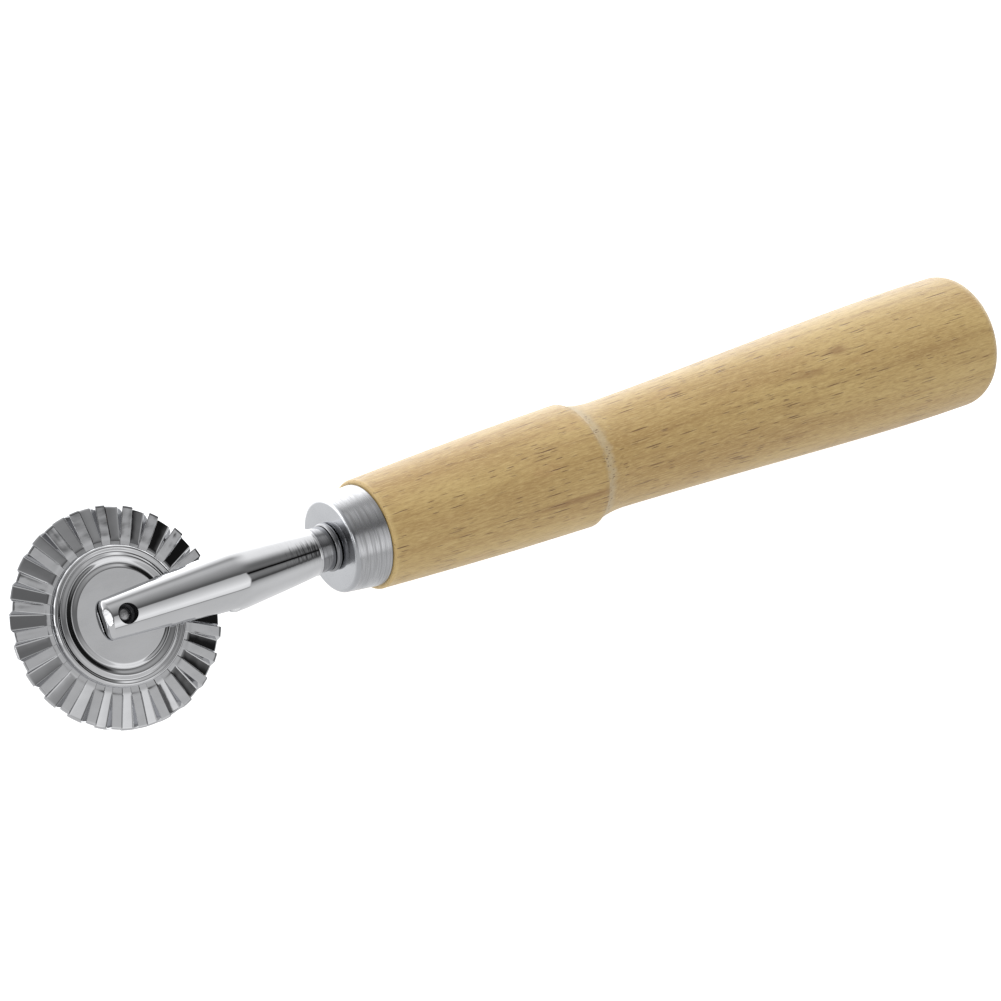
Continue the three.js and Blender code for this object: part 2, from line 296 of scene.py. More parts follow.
def smooth_corners(mesh: bpy.types.Mesh, shapes: list[tuple]) -> list[Vector]:
    """A normal for each face corner, read from the uncut surface that the face lies on.

    Args:
        mesh: The cut mesh.
        shapes: For the body and the cutter: its search tree, points, triangles and point normals.

    Returns:
        One normal for each corner.
    """
    reach = mm(0.004)
    corners = [Vector((0, 0, 1))] * len(mesh.loops)
    for face in mesh.polygons:
        owner = None
        for side, shape in zip((1.0, -1.0), shapes):
            _, hit_normal, _, distance = shape[0].find_nearest(face.center)
            if distance is not None and distance < reach and side * hit_normal.dot(face.normal) > 0.9:
                owner = (side, shape)
                # Faces from the cutter take the second material; on the fork that one is painted shade in the
                # bore.
                face.material_index = 0 if side > 0 else 1
                break
        for index in face.loop_indices:
            normal = face.normal.copy()
            if owner is not None:
                normal = read_normal(mesh, index, face, owner) or normal
            corners[index] = normal
    return corners


def read_normal(mesh: bpy.types.Mesh, index: int, face: bpy.types.MeshPolygon, owner: tuple) -> Vector | None:
    """The smooth normal of an uncut surface at one face corner.

    Args:
        mesh: The cut mesh.
        index: The corner.
        face: Its face.
        owner: Which way the surface faces, and the surface.

    Returns:
        The normal, or nothing where the surface turns away from the face.
    """
    side, (tree, points, triangles, normals) = owner
    spot = mesh.vertices[mesh.loops[index].vertex_index].co.lerp(face.center, 0.02)
    place, _, triangle, _ = tree.find_nearest(spot)
    three = triangles[triangle]
    weights = barycentric(place, *(points[i] for i in three))
    normal = sum((normals[i] * w for i, w in zip(three, weights)), Vector()).normalized() * side
    return normal if normal.dot(face.normal) > 0.5 else None


def barycentric(place: Vector, a: Vector, b: Vector, c: Vector) -> tuple[float, float, float]:
    """Shares of a triangle's three corners at a place in it.

    Args:
        place: A point in the triangle.
        a: First corner.
        b: Second corner.
        c: Third corner.

    Returns:
        Three weights that sum to 1.
    """
    along, across, out = b - a, c - a, place - a
    d00, d01, d11 = along.dot(along), along.dot(across), across.dot(across)
    d20, d21 = out.dot(along), out.dot(across)
    area = d00 * d11 - d01 * d01
    if abs(area) < 1e-24:
        return 1.0, 0.0, 0.0
    second = min(max((d11 * d20 - d01 * d21) / area, 0.0), 1.0)
    third = min(max((d00 * d21 - d01 * d20) / area, 0.0), 1.0)
    return 1.0 - second - third, second, third


# ---- finishes -------------------------------------------------------------------------------------


class Graph:
    """A material under construction, with short calls for the nodes that the finishes share."""

    def __init__(self, name: str) -> None:
        """Starts a material that holds one main shader.

        Args:
            name: Name of the material.
        """
        self.material = bpy.data.materials.new(name)
        self.material.use_nodes = True
        self.tree = self.material.node_tree
        self.tree.nodes.clear()
        self.main = self.tree.nodes.new("ShaderNodeBsdfPrincipled")
        output = self.tree.nodes.new("ShaderNodeOutputMaterial")
        self.tree.links.new(self.main.outputs[0], output.inputs["Surface"])
        self.place = self.tree.nodes.new("ShaderNodeTexCoord").outputs["Object"]

    def set(self, **values: float | Colour) -> None:
        """Sets plain values on the main shader's own sockets.

        Args:
            **values: Socket names with underscores for spaces, and their values.
        """
        for name, value in values.items():
            socket = self.main.inputs[name.replace("_", " ")]
            socket.default_value = (*value, 1.0) if isinstance(value, tuple) else value

    def feed(self, name: str, source: bpy.types.NodeSocket) -> None:
        """Links a socket of the main shader."""
        self.tree.links.new(source, self.main.inputs[name])

    def grid(self, along: float, across: float, shift: float = 0.0) -> bpy.types.NodeSocket:
        """Coordinates whose unit is a cell drawn out along the handle.

        Args:
            along: Length of the cell along X, in metres.
            across: Its width along Y and Z, in metres.
            shift: Moves the pattern, to make two of them differ.

        Returns:
            The coordinates.
        """
        mapping = self.tree.nodes.new("ShaderNodeMapping")
        mapping.inputs["Scale"].default_value = (1 / along, 1 / across, 1 / across)
        mapping.inputs["Location"].default_value = (shift, 2 * shift, 3 * shift)
        self.tree.links.new(self.place, mapping.inputs["Vector"])
        return mapping.outputs["Vector"]

    def noise(self, vector: bpy.types.NodeSocket, detail: float = 2.0, rough: float = 0.5,
              twist: float = 0.0) -> bpy.types.NodeSocket:
        """Soft noise of one cell per unit.

        Args:
            vector: Coordinates.
            detail: Number of finer layers.
            rough: Weight of the finer layers.
            twist: How far the pattern is distorted.

        Returns:
            A value from 0 to 1.
        """
        node = self.tree.nodes.new("ShaderNodeTexNoise")
        for name, value in (("Scale", 1.0), ("Detail", detail), ("Roughness", rough), ("Distortion", twist)):
            node.inputs[name].default_value = value
        self.tree.links.new(vector, node.inputs["Vector"])
        return node.outputs["Fac"]

    def cells(self, vector: bpy.types.NodeSocket) -> tuple[bpy.types.NodeSocket, bpy.types.NodeSocket]:
        """Scattered dots, one per unit.

        Args:
            vector: Coordinates.

        Returns:
            The distance from the nearest dot, and a random value that belongs to that dot.
        """
        node = self.tree.nodes.new("ShaderNodeTexVoronoi")
        node.inputs["Scale"].default_value = 1.0
        self.tree.links.new(vector, node.inputs["Vector"])
        split = self.tree.nodes.new("ShaderNodeSeparateColor")
        self.tree.links.new(node.outputs["Color"], split.inputs[0])
        return node.outputs["Distance"], split.outputs[0]

    def ramp(self, value: bpy.types.NodeSocket, low: float, high: float, start: float = 0.0,
             end: float = 1.0) -> bpy.types.NodeSocket:
        """Maps a stretch of values smoothly onto another and stops at its ends.

        Args:
            value: The value.
            low: Where the stretch starts.
            high: Where it ends.
            start: Result at low.
            end: Result at high.

        Returns:
            The mapped value.
        """
        node = self.tree.nodes.new("ShaderNodeMapRange")
        node.interpolation_type = "SMOOTHSTEP"
        for name, number in (("From Min", low), ("From Max", high), ("To Min", start), ("To Max", end)):
            node.inputs[name].default_value = number
        self.tree.links.new(value, node.inputs["Value"])
        return node.outputs[0]

    def math(self, operation: str, first: bpy.types.NodeSocket,
             second: bpy.types.NodeSocket | float = 0.0) -> bpy.types.NodeSocket:
        """One sum on two values.

        Args:
            operation: The node's operation, such as MULTIPLY.
            first: First value.
            second: Second value, a socket or a number.

        Returns:
            The result.
        """
        node = self.tree.nodes.new("ShaderNodeMath")
        node.operation = operation
        self.tree.links.new(first, node.inputs[0])
        if isinstance(second, float):
            node.inputs[1].default_value = second
        else:
            self.tree.links.new(second, node.inputs[1])
        return node.outputs[0]

    def mix(self, share: bpy.types.NodeSocket | float, first: bpy.types.NodeSocket | Colour,
            second: bpy.types.NodeSocket | Colour, blend: str = "MIX") -> bpy.types.NodeSocket:
        """Mixes two colours.

        Args:
            share: How much of the second shows.
            first: First colour.
            second: Second colour.
            blend: How they combine.

        Returns:
            The mixed colour.
        """
        node = self.tree.nodes.new("ShaderNodeMix")
        node.data_type = "RGBA"
        node.blend_type = blend
        for slot, value in ((0, share), (6, first), (7, second)):
            if isinstance(value, tuple):
                node.inputs[slot].default_value = (*value, 1.0)
            elif isinstance(value, float):
                node.inputs[slot].default_value = value
            else:
                self.tree.links.new(value, node.inputs[slot])
        return node.outputs[2]

    def split(self) -> tuple[bpy.types.NodeSocket, bpy.types.NodeSocket, bpy.types.NodeSocket]:
        """The X, Y and Z of a point of the piece, in metres."""
        node = self.tree.nodes.new("ShaderNodeSeparateXYZ")
        self.tree.links.new(self.place, node.inputs[0])
        return node.outputs[0], node.outputs[1], node.outputs[2]

    def nearness(self, middle: Vector, reach: tuple[float, float, float]) -> bpy.types.NodeSocket:
        """How far a point is from a place, with 1 on the surface of an ellipsoid round it.

        Args:
            middle: The place.
            reach: Half sizes of the ellipsoid.

        Returns:
            The distance.
        """
        node = self.tree.nodes.new("ShaderNodeMapping")
        node.inputs["Scale"].default_value = tuple(1 / half for half in reach)
        node.inputs["Location"].default_value = tuple(-m / half for m, half in zip(middle, reach))
        self.tree.links.new(self.place, node.inputs["Vector"])
        length = self.tree.nodes.new("ShaderNodeVectorMath")
        length.operation = "LENGTH"
        self.tree.links.new(node.outputs["Vector"], length.inputs[0])
        return length.outputs["Value"]

    def bump(self, height: bpy.types.NodeSocket, depth: float, strength: float = 1.0) -> None:
        """Raises the surface by a pattern.

        Args:
            height: The pattern, from 0 to 1.
            depth: Its full height in metres.
            strength: Share of that height that shows.
        """
        node = self.tree.nodes.new("ShaderNodeBump")
        node.inputs["Distance"].default_value = depth
        node.inputs["Strength"].default_value = strength
        self.tree.links.new(height, node.inputs["Height"])
        self.feed("Normal", node.outputs[0])


@dataclass(frozen=True)
class Mark:
    """A stain in the wood.

    Attributes:
        middle: Its place.
        reach: Its half sizes along X, Y and Z.
        strength: Share of the stain's colour in its middle.
    """

    middle: Vector
    reach: tuple[float, float, float]
    strength: float


@dataclass(frozen=True)
class VarnishedWood:
    """Pale straight-grained hardwood under satin varnish, with open pores along the grain.

    Attributes:
        ridge_at: X where the barrel's ridge ends and the sanded cove begins.
        cove: Length of that cove.
        shoulder_at: X of the wood's front face.
        marks: Brown stains.
        honey: The wood's main colour.
        tan: Its darker bands.
        pale: The bare wood of the sanded cove.
        streak: The dark grain lines.
        bright: The light flecks, and the thick varnish on the shoulder's edge.
        rosy: Its reddish clouds.
        smudge: The stains.
        pore: The open pores.
    """

    ridge_at: float
    cove: float
    shoulder_at: float
    marks: tuple[Mark, ...]
    honey: Colour = srgb(184, 157, 99)
    tan: Colour = srgb(166, 135, 80)
    pale: Colour = srgb(178, 163, 133)
    streak: Colour = srgb(138, 104, 57)
    bright: Colour = srgb(203, 178, 122)
    rosy: Colour = srgb(172, 132, 88)
    smudge: Colour = srgb(126, 86, 46)
    pore: Colour = srgb(92, 56, 26)

    def material(self) -> bpy.types.Material:
        """Builds the material."""
        graph = Graph("varnished_wood")
        body = graph.noise(graph.grid(mm(60), mm(6)), 3.0, 0.55, 0.4)
        colour = graph.mix(graph.ramp(body, 0.32, 0.68), self.honey, self.tan)
        fibre = graph.noise(graph.grid(mm(7), mm(0.24), 3.0), 4.0, 0.7)
        colour = graph.mix(graph.ramp(fibre, 0.52, 0.68, 0.0, 0.4), colour, self.streak)
        colour = graph.mix(graph.ramp(fibre, 0.48, 0.3, 0.0, 0.35), colour, self.bright)
        rings = graph.noise(graph.grid(mm(120), mm(1.4), 7.0), 2.0, 0.5, 0.3)
        colour = graph.mix(graph.ramp(rings, 0.58, 0.68, 0.0, 0.3), colour, self.streak)
        cloud = graph.noise(graph.grid(mm(12), mm(5), 11.0), 3.0, 0.6)
        colour = graph.mix(graph.ramp(cloud, 0.55, 0.75, 0.0, 0.3), colour, self.rosy)
        fleck = graph.noise(graph.grid(mm(1.4), mm(0.22), 29.0), 2.0, 0.6)
        colour = graph.mix(graph.ramp(fleck, 0.52, 0.66, 0.0, 0.3), colour, self.streak)
        colour = graph.mix(graph.ramp(fleck, 0.48, 0.34, 0.0, 0.3), colour, self.bright)
        for spot in self.marks:
            colour = graph.mix(self.mark(graph, spot), colour, self.smudge)
        sanded = self.cove_mask(graph)
        colour = graph.mix(sanded, colour, self.pale)
        colour = graph.mix(self.front_ring(graph), colour, self.bright)
        pores = self.pores(graph)
        colour = graph.mix(graph.math("MULTIPLY", pores, 0.82), colour, self.pore)
        graph.feed("Base Color", colour)
        rough = graph.ramp(fibre, 0.2, 0.8, 0.42, 0.56)
        graph.feed("Roughness", graph.math("ADD", rough, graph.math("MULTIPLY", sanded, 0.2)))
        graph.set(Specular_IOR_Level=0.5, Coat_Weight=0.35, Coat_Roughness=0.42, Coat_IOR=1.5)
        relief = graph.math("SUBTRACT", graph.math("MULTIPLY", fibre, 0.6), pores)
        graph.bump(relief, mm(0.06), 0.8)
        return graph.material

    def pores(self, graph: Graph) -> bpy.types.NodeSocket:
        """Short dark dashes, bunched in bands as the vessels of one year's growth.

        Args:
            graph: The material under construction.

        Returns:
            1 in a pore and 0 between them.
        """
        distance, kind = graph.cells(graph.grid(mm(10.0), mm(0.34), 5.0))
        thin = graph.ramp(distance, 0.16, 0.34, 1.0, 0.0)
        bands = graph.ramp(graph.noise(graph.grid(mm(55), mm(1.1), 13.0), 1.0), 0.44, 0.56)
        long_pores = graph.math("MULTIPLY", graph.math("MULTIPLY", thin, graph.ramp(kind, 0.4, 0.75)), bands)
        distance, kind = graph.cells(graph.grid(mm(3.2), mm(0.3), 9.0))
        thin = graph.ramp(distance, 0.16, 0.34, 1.0, 0.0)
        specks = graph.math("MULTIPLY", graph.math("MULTIPLY", thin, graph.ramp(kind, 0.6, 0.95)), 0.8)
        return graph.math("MAXIMUM", long_pores, specks)

    def cove_mask(self, graph: Graph) -> bpy.types.NodeSocket:
        """Where the wood behind the ridge is sanded pale.

        Args:
            graph: The material under construction.

        Returns:
            1 on the sanded band and 0 off it.
        """
        along, _, _ = graph.split()
        ragged = graph.noise(graph.grid(mm(3), mm(1.2), 17.0), 3.0, 0.6)
        along = graph.math("ADD", along, graph.math("MULTIPLY", graph.math("SUBTRACT", ragged, 0.5), mm(3.0)))
        rise = graph.ramp(along, self.ridge_at - mm(0.3), self.ridge_at + mm(1.0))
        fall = graph.ramp(along, self.ridge_at + 0.16 * self.cove, self.ridge_at + 0.4 * self.cove, 1.0, 0.0)
        return graph.math("MULTIPLY", graph.math("MULTIPLY", rise, fall), 0.6)

    def front_ring(self, graph: Graph) -> bpy.types.NodeSocket:
        """The edge of the shoulder, where the varnish lies thick and yellow."""
        along, _, _ = graph.split()
        return graph.ramp(along, self.shoulder_at + mm(0.4), self.shoulder_at + mm(0.9), 0.3, 0.0)

    def mark(self, graph: Graph, spot: Mark) -> bpy.types.NodeSocket:
        """A brown stain drawn out along the grain.

        Args:
            graph: The material under construction.
            spot: Its middle and half sizes.

        Returns:
            Its strength, from 0 to 1.
        """
        near = graph.nearness(spot.middle, spot.reach)
        ragged = graph.noise(graph.grid(mm(9), mm(0.8), 23.0), 3.0, 0.6)
        edge = graph.math("ADD", near, graph.math("MULTIPLY", graph.math("SUBTRACT", ragged, 0.5), 2.2))
        return graph.ramp(edge, 0.1, 1.15, spot.strength, 0.0)


@dataclass(frozen=True)
class PolishedChrome:
    """Mirror plate, a little uneven from the polishing and from handling.

    Attributes:
        name: Name of the material.
        tint: Its reflection colour.
        smear: Roughness of the cleanest and of the most handled places.
        ripple: Height of the polishing waves, in metres.
        turned_from: X behind which the marks of the lathe still show, or nothing.
        turning: Height of those marks.
    """

    name: str
    tint: Colour = (0.66, 0.665, 0.68)
    smear: tuple[float, float] = (0.04, 0.12)
    ripple: float = mm(0.004)
    turned_from: float | None = None
    turning: float = mm(0.03)

    def material(self) -> bpy.types.Material:
        """Builds the material."""
        graph = Graph(self.name)
        cloud = graph.noise(graph.grid(mm(6), mm(3)), 3.0, 0.55)
        dull = tuple(0.82 * c for c in self.tint)
        colour = graph.mix(graph.ramp(cloud, 0.35, 0.7, 0.0, 0.25), self.tint, dull)
        graph.feed("Base Color", colour)
        graph.set(Metallic=1.0)
        graph.feed("Roughness", graph.ramp(cloud, 0.3, 0.75, *self.smear))
        waves = graph.math("MULTIPLY", graph.noise(graph.grid(mm(2.2), mm(1.1), 4.0), 2.0, 0.5), self.ripple)
        if self.turned_from is not None:
            along, _, _ = graph.split()
            marks = graph.noise(graph.grid(mm(0.7), mm(4), 8.0), 2.0, 0.6)
            depth = graph.ramp(along, self.turned_from, self.turned_from + mm(11), 0.0, self.turning)
            waves = graph.math("ADD", waves, graph.math("MULTIPLY", marks, depth))
        graph.bump(waves, 1.0)
        return graph.material


@dataclass(frozen=True)
class DrawnSteel:
    """Steel with the fine lines of drawing or turning in it.

    Attributes:
        name: Name of the material.
        tint: Its reflection colour.
        rough: Roughness between the lines and in them.
        line: Length and width of a line, in metres.
        depth: Depth of the lines, in metres.
    """

    name: str
    tint: Colour = (0.5, 0.505, 0.52)
    rough: tuple[float, float] = (0.2, 0.38)
    line: tuple[float, float] = (mm(14), mm(0.22))
    depth: float = mm(0.006)

    def material(self) -> bpy.types.Material:
        """Builds the material."""
        graph = Graph(self.name)
        lines = graph.noise(graph.grid(*self.line), 3.0, 0.6)
        dark = tuple(0.7 * c for c in self.tint)
        graph.feed("Base Color", graph.mix(graph.ramp(lines, 0.35, 0.75), self.tint, dark))
        graph.set(Metallic=1.0)
        graph.feed("Roughness", graph.ramp(lines, 0.3, 0.7, *self.rough))
        graph.bump(lines, self.depth)
        return graph.material


@dataclass(frozen=True)
class FloorPaper:
    """Pale matt paper under the tool that glows with its own emission, so that shadows on it stay light.

    Attributes:
        white: Its colour.
        glow: Strength of that emission, a glow with no lamp behind it that lightens the shadows.
    """

    white: Colour = (0.6, 0.6, 0.6)
    glow: float = 1.3

    def material(self) -> bpy.types.Material:
        """Builds the material."""
        graph = Graph("floor_paper")
        tooth = graph.noise(graph.grid(mm(2), mm(2)), 2.0)
        graph.feed("Base Color", graph.mix(tooth, self.white, tuple(0.985 * c for c in self.white)))
        graph.set(Roughness=0.9, Specular_IOR_Level=0.1)
        # Painted glow: the paper gives off light itself, which lifts the shadows on it.
        graph.set(Emission_Color=self.white, Emission_Strength=self.glow)
        return graph.material


# ---- pieces ---------------------------------------------------------------------------------------


class Body(Enum):
    """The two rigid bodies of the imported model."""

    FRAME = "frame"
    WHEEL = "wheel"


@dataclass
class Workshop:
    """Hands finished pieces over to the frame and keeps count of them.

    Attributes:
        frame: The places that the model fixes.
        made: Names of the pieces so far.
    """

    frame: Frame
    made: list[str] = field(default_factory=list)

    def fit(self, piece: bpy.types.Object, node: str, body: Body, slot: str,
            *finishes: bpy.types.Material) -> bpy.types.Object:
        """Gives a piece its finish, hides the plain node it stands for and lets it move with its body.

        Args:
            piece: The finished mesh.
            node: The plain node that it replaces.
            body: The body that it moves with.
            slot: The record's material slot; not used.
            *finishes: Its materials, in the order of the mesh's material indices.

        Returns:
            The piece.
        """
        places = [face.material_index for face in piece.data.polygons]
        piece.data.materials.clear()
        for finish in finishes:
            piece.data.materials.append(finish)
        piece.data.polygons.foreach_set("material_index", places)
        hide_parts(node)
        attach(piece, body.value)
        self.made.append(piece.name)
        LOG.info("%s: %d faces, rides on %s", piece.name, len(piece.data.polygons), body.value)
        return piece


def along_axle(node: str, frame: Frame) -> tuple[float, float]:
    """The reach of a node along the handle, measured from the wheel's centre.

    Args:
        node: Name of the node.
        frame: The places that the model fixes.

    Returns:
        Its first and last X, from the axle.
    """
    low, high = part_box(node)
    return low.x - frame.axle.x, high.x - frame.axle.x


def half_width(node: str) -> float:
    """Half of a node's width across the tool."""
    low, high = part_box(node)
    return (high.y - low.y) / 2


@dataclass(frozen=True)
class Flute:
    """One flat land of the blade and the pressed troughs beside it, as the press left them.

    Attributes:
        turn: Angle of the land's middle, in radians.
        half: Half of the land's width.
        rise: Height of the land over the sheet's middle.
        drop: Depth of the troughs' floor at the rim.
        lean: Slope of the land along the rim, from a slightly twisted pressing.
    """

    turn: float
    half: float
    rise: float
    drop: float
    lean: float


@dataclass
class Wheel:
    """The fluted disc with a cap on each side and the bush through them.

    Attributes:
        shop: Where finished pieces go.
        flutes: Number of lands, with a trough between each two.
        start: Radius where the lands and troughs leave the flat of the disc.
        first_turn: Degrees from +X to the middle of the first land.
        land_half: Half of a land's width.
        land_rise: Height of a land over the sheet's middle.
        land_ramp: Length over which it rises.
        trough_drop: Depth of a trough's floor under the sheet's middle at the rim.
        wall_slope: Fall of a trough's wall for its width.
        crease: Radius over which the bends are rounded.
        sheet: Half of the disc's thickness at the middle.
        edge: Half of its thickness at the rim.
        drift: How many degrees the pressing wanders round the disc, and where it is furthest ahead.
        waves: Crests and valleys of a cap's rings: radius, and depth below the cap's face.
        lip_edge: Height of the rounding outside the first crest.
    """

    shop: Workshop
    flutes: int = 24
    start: float = mm(11.8)
    first_turn: float = 7.0
    land_half: float = mm(0.8)
    land_rise: float = mm(0.04)
    land_ramp: float = mm(0.6)
    trough_drop: float = mm(1.3)
    wall_slope: float = 2.8
    crease: float = mm(0.09)
    sheet: float = mm(0.4)
    edge: float = mm(0.3)
    drift: tuple[float, float] = (2.6, 30.0)
    waves: tuple[Point2, ...] = (
        (mm(10.6), mm(0.1)), (mm(10.0), mm(0.32)), (mm(9.25), mm(0.0)), (mm(8.25), mm(0.24)),
        (mm(7.35), mm(0.0)))
    lip_edge: float = mm(0.55)

    def build(self) -> None:
        """Makes the three visible pieces."""
        chrome = PolishedChrome("cap_chrome", smear=(0.04, 0.1)).material()
        plate = PolishedChrome("blade_chrome", tint=(0.6, 0.605, 0.62), smear=(0.04, 0.09)).material()
        self.shop.fit(self.blade(), "blade", Body.WHEEL, "blade_chrome", plate)
        for node, side in (("hub_cap_top", 1.0), ("hub_cap_bottom", -1.0)):
            self.shop.fit(self.cap(node, side), node, Body.WHEEL, "cap_chrome", chrome)

    def pressings(self) -> list[Flute]:
        """Every flute with its own small errors."""
        rng = random.Random(24)
        reach, ahead = self.drift
        flutes = []
        for i in range(self.flutes):
            degrees = self.first_turn + 360.0 * i / self.flutes
            degrees -= reach * math.cos(math.radians(degrees - ahead)) + rng.uniform(-0.5, 0.5)
            flutes.append(Flute(
                turn=math.radians(degrees),
                half=self.land_half * rng.uniform(0.9, 1.08),
                rise=self.land_rise * rng.uniform(0.9, 1.0),
                drop=self.trough_drop * rng.uniform(0.8, 1.0),
                lean=rng.uniform(-0.015, 0.015)))
        return flutes

    def blade(self) -> bpy.types.Object:
        """The fluted disc, one sheet pressed into lands and troughs."""
        rim = half_width("blade")
        low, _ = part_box("hub_bush")
        bore = self.shop.frame.axle.x - low.x + mm(0.05)
        rings = 30
        radii = [bore, 0.5 * (bore + self.start)]
        radii += [lerp(self.start - mm(0.1), rim - self.edge, i / rings) for i in range(rings + 1)]
        outline = [(radius, -self.thickness(radius, rim)) for radius in radii]
        rounded = [math.radians(a) for a in (18, 40, 65, 90, 115, 140, 162)]
        outline += [(rim - self.edge * (1 - math.sin(a)), -self.edge * math.cos(a)) for a in rounded]
        outline += [(radius, self.thickness(radius, rim)) for radius in reversed(radii)]
        flutes = self.pressings()
        shape = bmesh.new()
        rows = []
        for radius, height in outline:
            row = []
            for index, flute in enumerate(flutes):
                after = flutes[(index + 1) % len(flutes)]
                for turn, rise in self.columns(flute, after, radius, rim):
                    rise += self.dent(radius, turn)
                    row.append(shape.verts.new(self.shop.frame.place(Axis.AXLE, height + rise, radius, turn)))
            rows.append(row)
        for first, second in zip(rows, rows[1:] + rows[:1]):
            bridge(shape, first, second)
        piece = new_object("fluted_blade", shape)
        piece.data.shade_smooth()
        return piece

    def columns(self, flute: Flute, after: Flute, radius: float, rim: float) -> list[Point2]:
        """Points across one land and the trough after it, at one radius.

        Args:
            flute: The land.
            after: The next land.
            radius: Distance from the axle.
            rim: The blade's radius.

        Returns:
            Each point's angle and the height of the sheet's middle there.
        """
        out = max(radius, self.start)
        pitch = (after.turn - flute.turn) % math.tau
        gap = pitch * out - flute.half - after.half
        floor = -0.5 * (flute.drop + after.drop) * (out - self.start) / (rim - self.start)
        share = smoothstep(self.start - mm(0.1), self.start + self.land_ramp, radius)
        points = []
        for t in (-1.0, -0.94, -0.85, -0.6, -0.2, 0.2, 0.6, 0.85, 0.94):
            height = flute.rise * share + flute.lean * t * flute.half * share
            points.append((flute.turn + t * flute.half / out, height))
        first = min(max((flute.rise * share - floor) / self.wall_slope, 0.04 * gap), 0.48 * gap)
        second = min(max((after.rise * share - floor) / self.wall_slope, 0.04 * gap), 0.48 * gap)
        start = flute.turn + flute.half / out
        spots = [t * first for t in (0.0, 0.06, 0.16, 0.4, 0.7, 0.9)]
        spots += [lerp(first, gap - second, t) for t in (0.0, 0.12, 0.5, 0.88)]
        spots += [gap - t * second for t in (1.0, 0.9, 0.7, 0.4, 0.16, 0.06)]
        left = (flute.rise + flute.lean * flute.half) * share
        right = (after.rise - after.lean * after.half) * share
        for spot in spots:
            fall = max(self.soft_max(left - self.wall_slope * spot, floor),
                       self.soft_max(right - self.wall_slope * (gap - spot), floor))
            top = lerp(left, right, spot / gap)
            points.append((start + spot / out, -self.soft_max(-fall, -top)))
        return points

    def soft_max(self, first: float, second: float) -> float:
        """The larger of two heights, with the crease between them rounded."""
        overlap = max(self.crease - abs(first - second), 0.0) / self.crease
        return max(first, second) + 0.25 * self.crease * overlap * overlap

    def dent(self, radius: float, turn: float) -> float:
        """Small unevenness of the pressed sheet: radial streaks and shallow dents.

        Args:
            radius: Distance from the axle.
            turn: Angle round it, in radians.

        Returns:
            The change of height.
        """
        share = smoothstep(self.start, self.start + mm(1.5), radius)
        streak = noise.noise(Vector((turn * 38.0, radius * 120.0, 3.0)))
        hollow = noise.noise(Vector((radius * math.cos(turn) * 700.0, radius * math.sin(turn) * 700.0, 9.0)))
        return share * (mm(0.012) * streak + mm(0.01) * hollow)

    def thickness(self, radius: float, rim: float) -> float:
        """Half of the sheet's thickness at a radius."""
        share = max(radius - self.start, 0.0) / (rim - self.start)
        return lerp(self.sheet, self.edge, share)

    def cap(self, node: str, side: float) -> bpy.types.Object:
        """One hub cap with its turned rings.

        Args:
            node: The plain node that it replaces.
            side: 1 for the upper cap and -1 for the lower one.

        Returns:
            The piece.
        """
        low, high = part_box(node)
        centre = self.shop.frame.axle.z
        seat, face = sorted((abs(low.z - centre), abs(high.z - centre)))
        rim = half_width(node)
        bush_low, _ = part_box("hub_bush")
        bore = self.shop.frame.axle.x - bush_low.x + mm(0.05)
        profile = [(seat, bore), (seat, rim - mm(0.1)), (seat + mm(0.1), rim)]
        crest, drop = self.waves[0]
        profile += arc((face - drop - self.lip_edge, crest), (self.lip_edge, rim - crest), 90, 0, 10)
        steps = 14
        for (start, high), (end, low_drop) in zip(self.waves, self.waves[1:]):
            for i in range(1, steps + 1):
                share = i / steps
                depth = lerp(high, low_drop, smoothstep(0.0, 1.0, share))
                profile.append((face - depth, lerp(start, end, share)))
        profile += [(face, bore)]
        outline = [(side * a, r) for a, r in profile]
        piece = turned(self.shop.frame, node + "_turned", outline, Axis.AXLE, True)
        shade(piece, 50.0)
        return piece


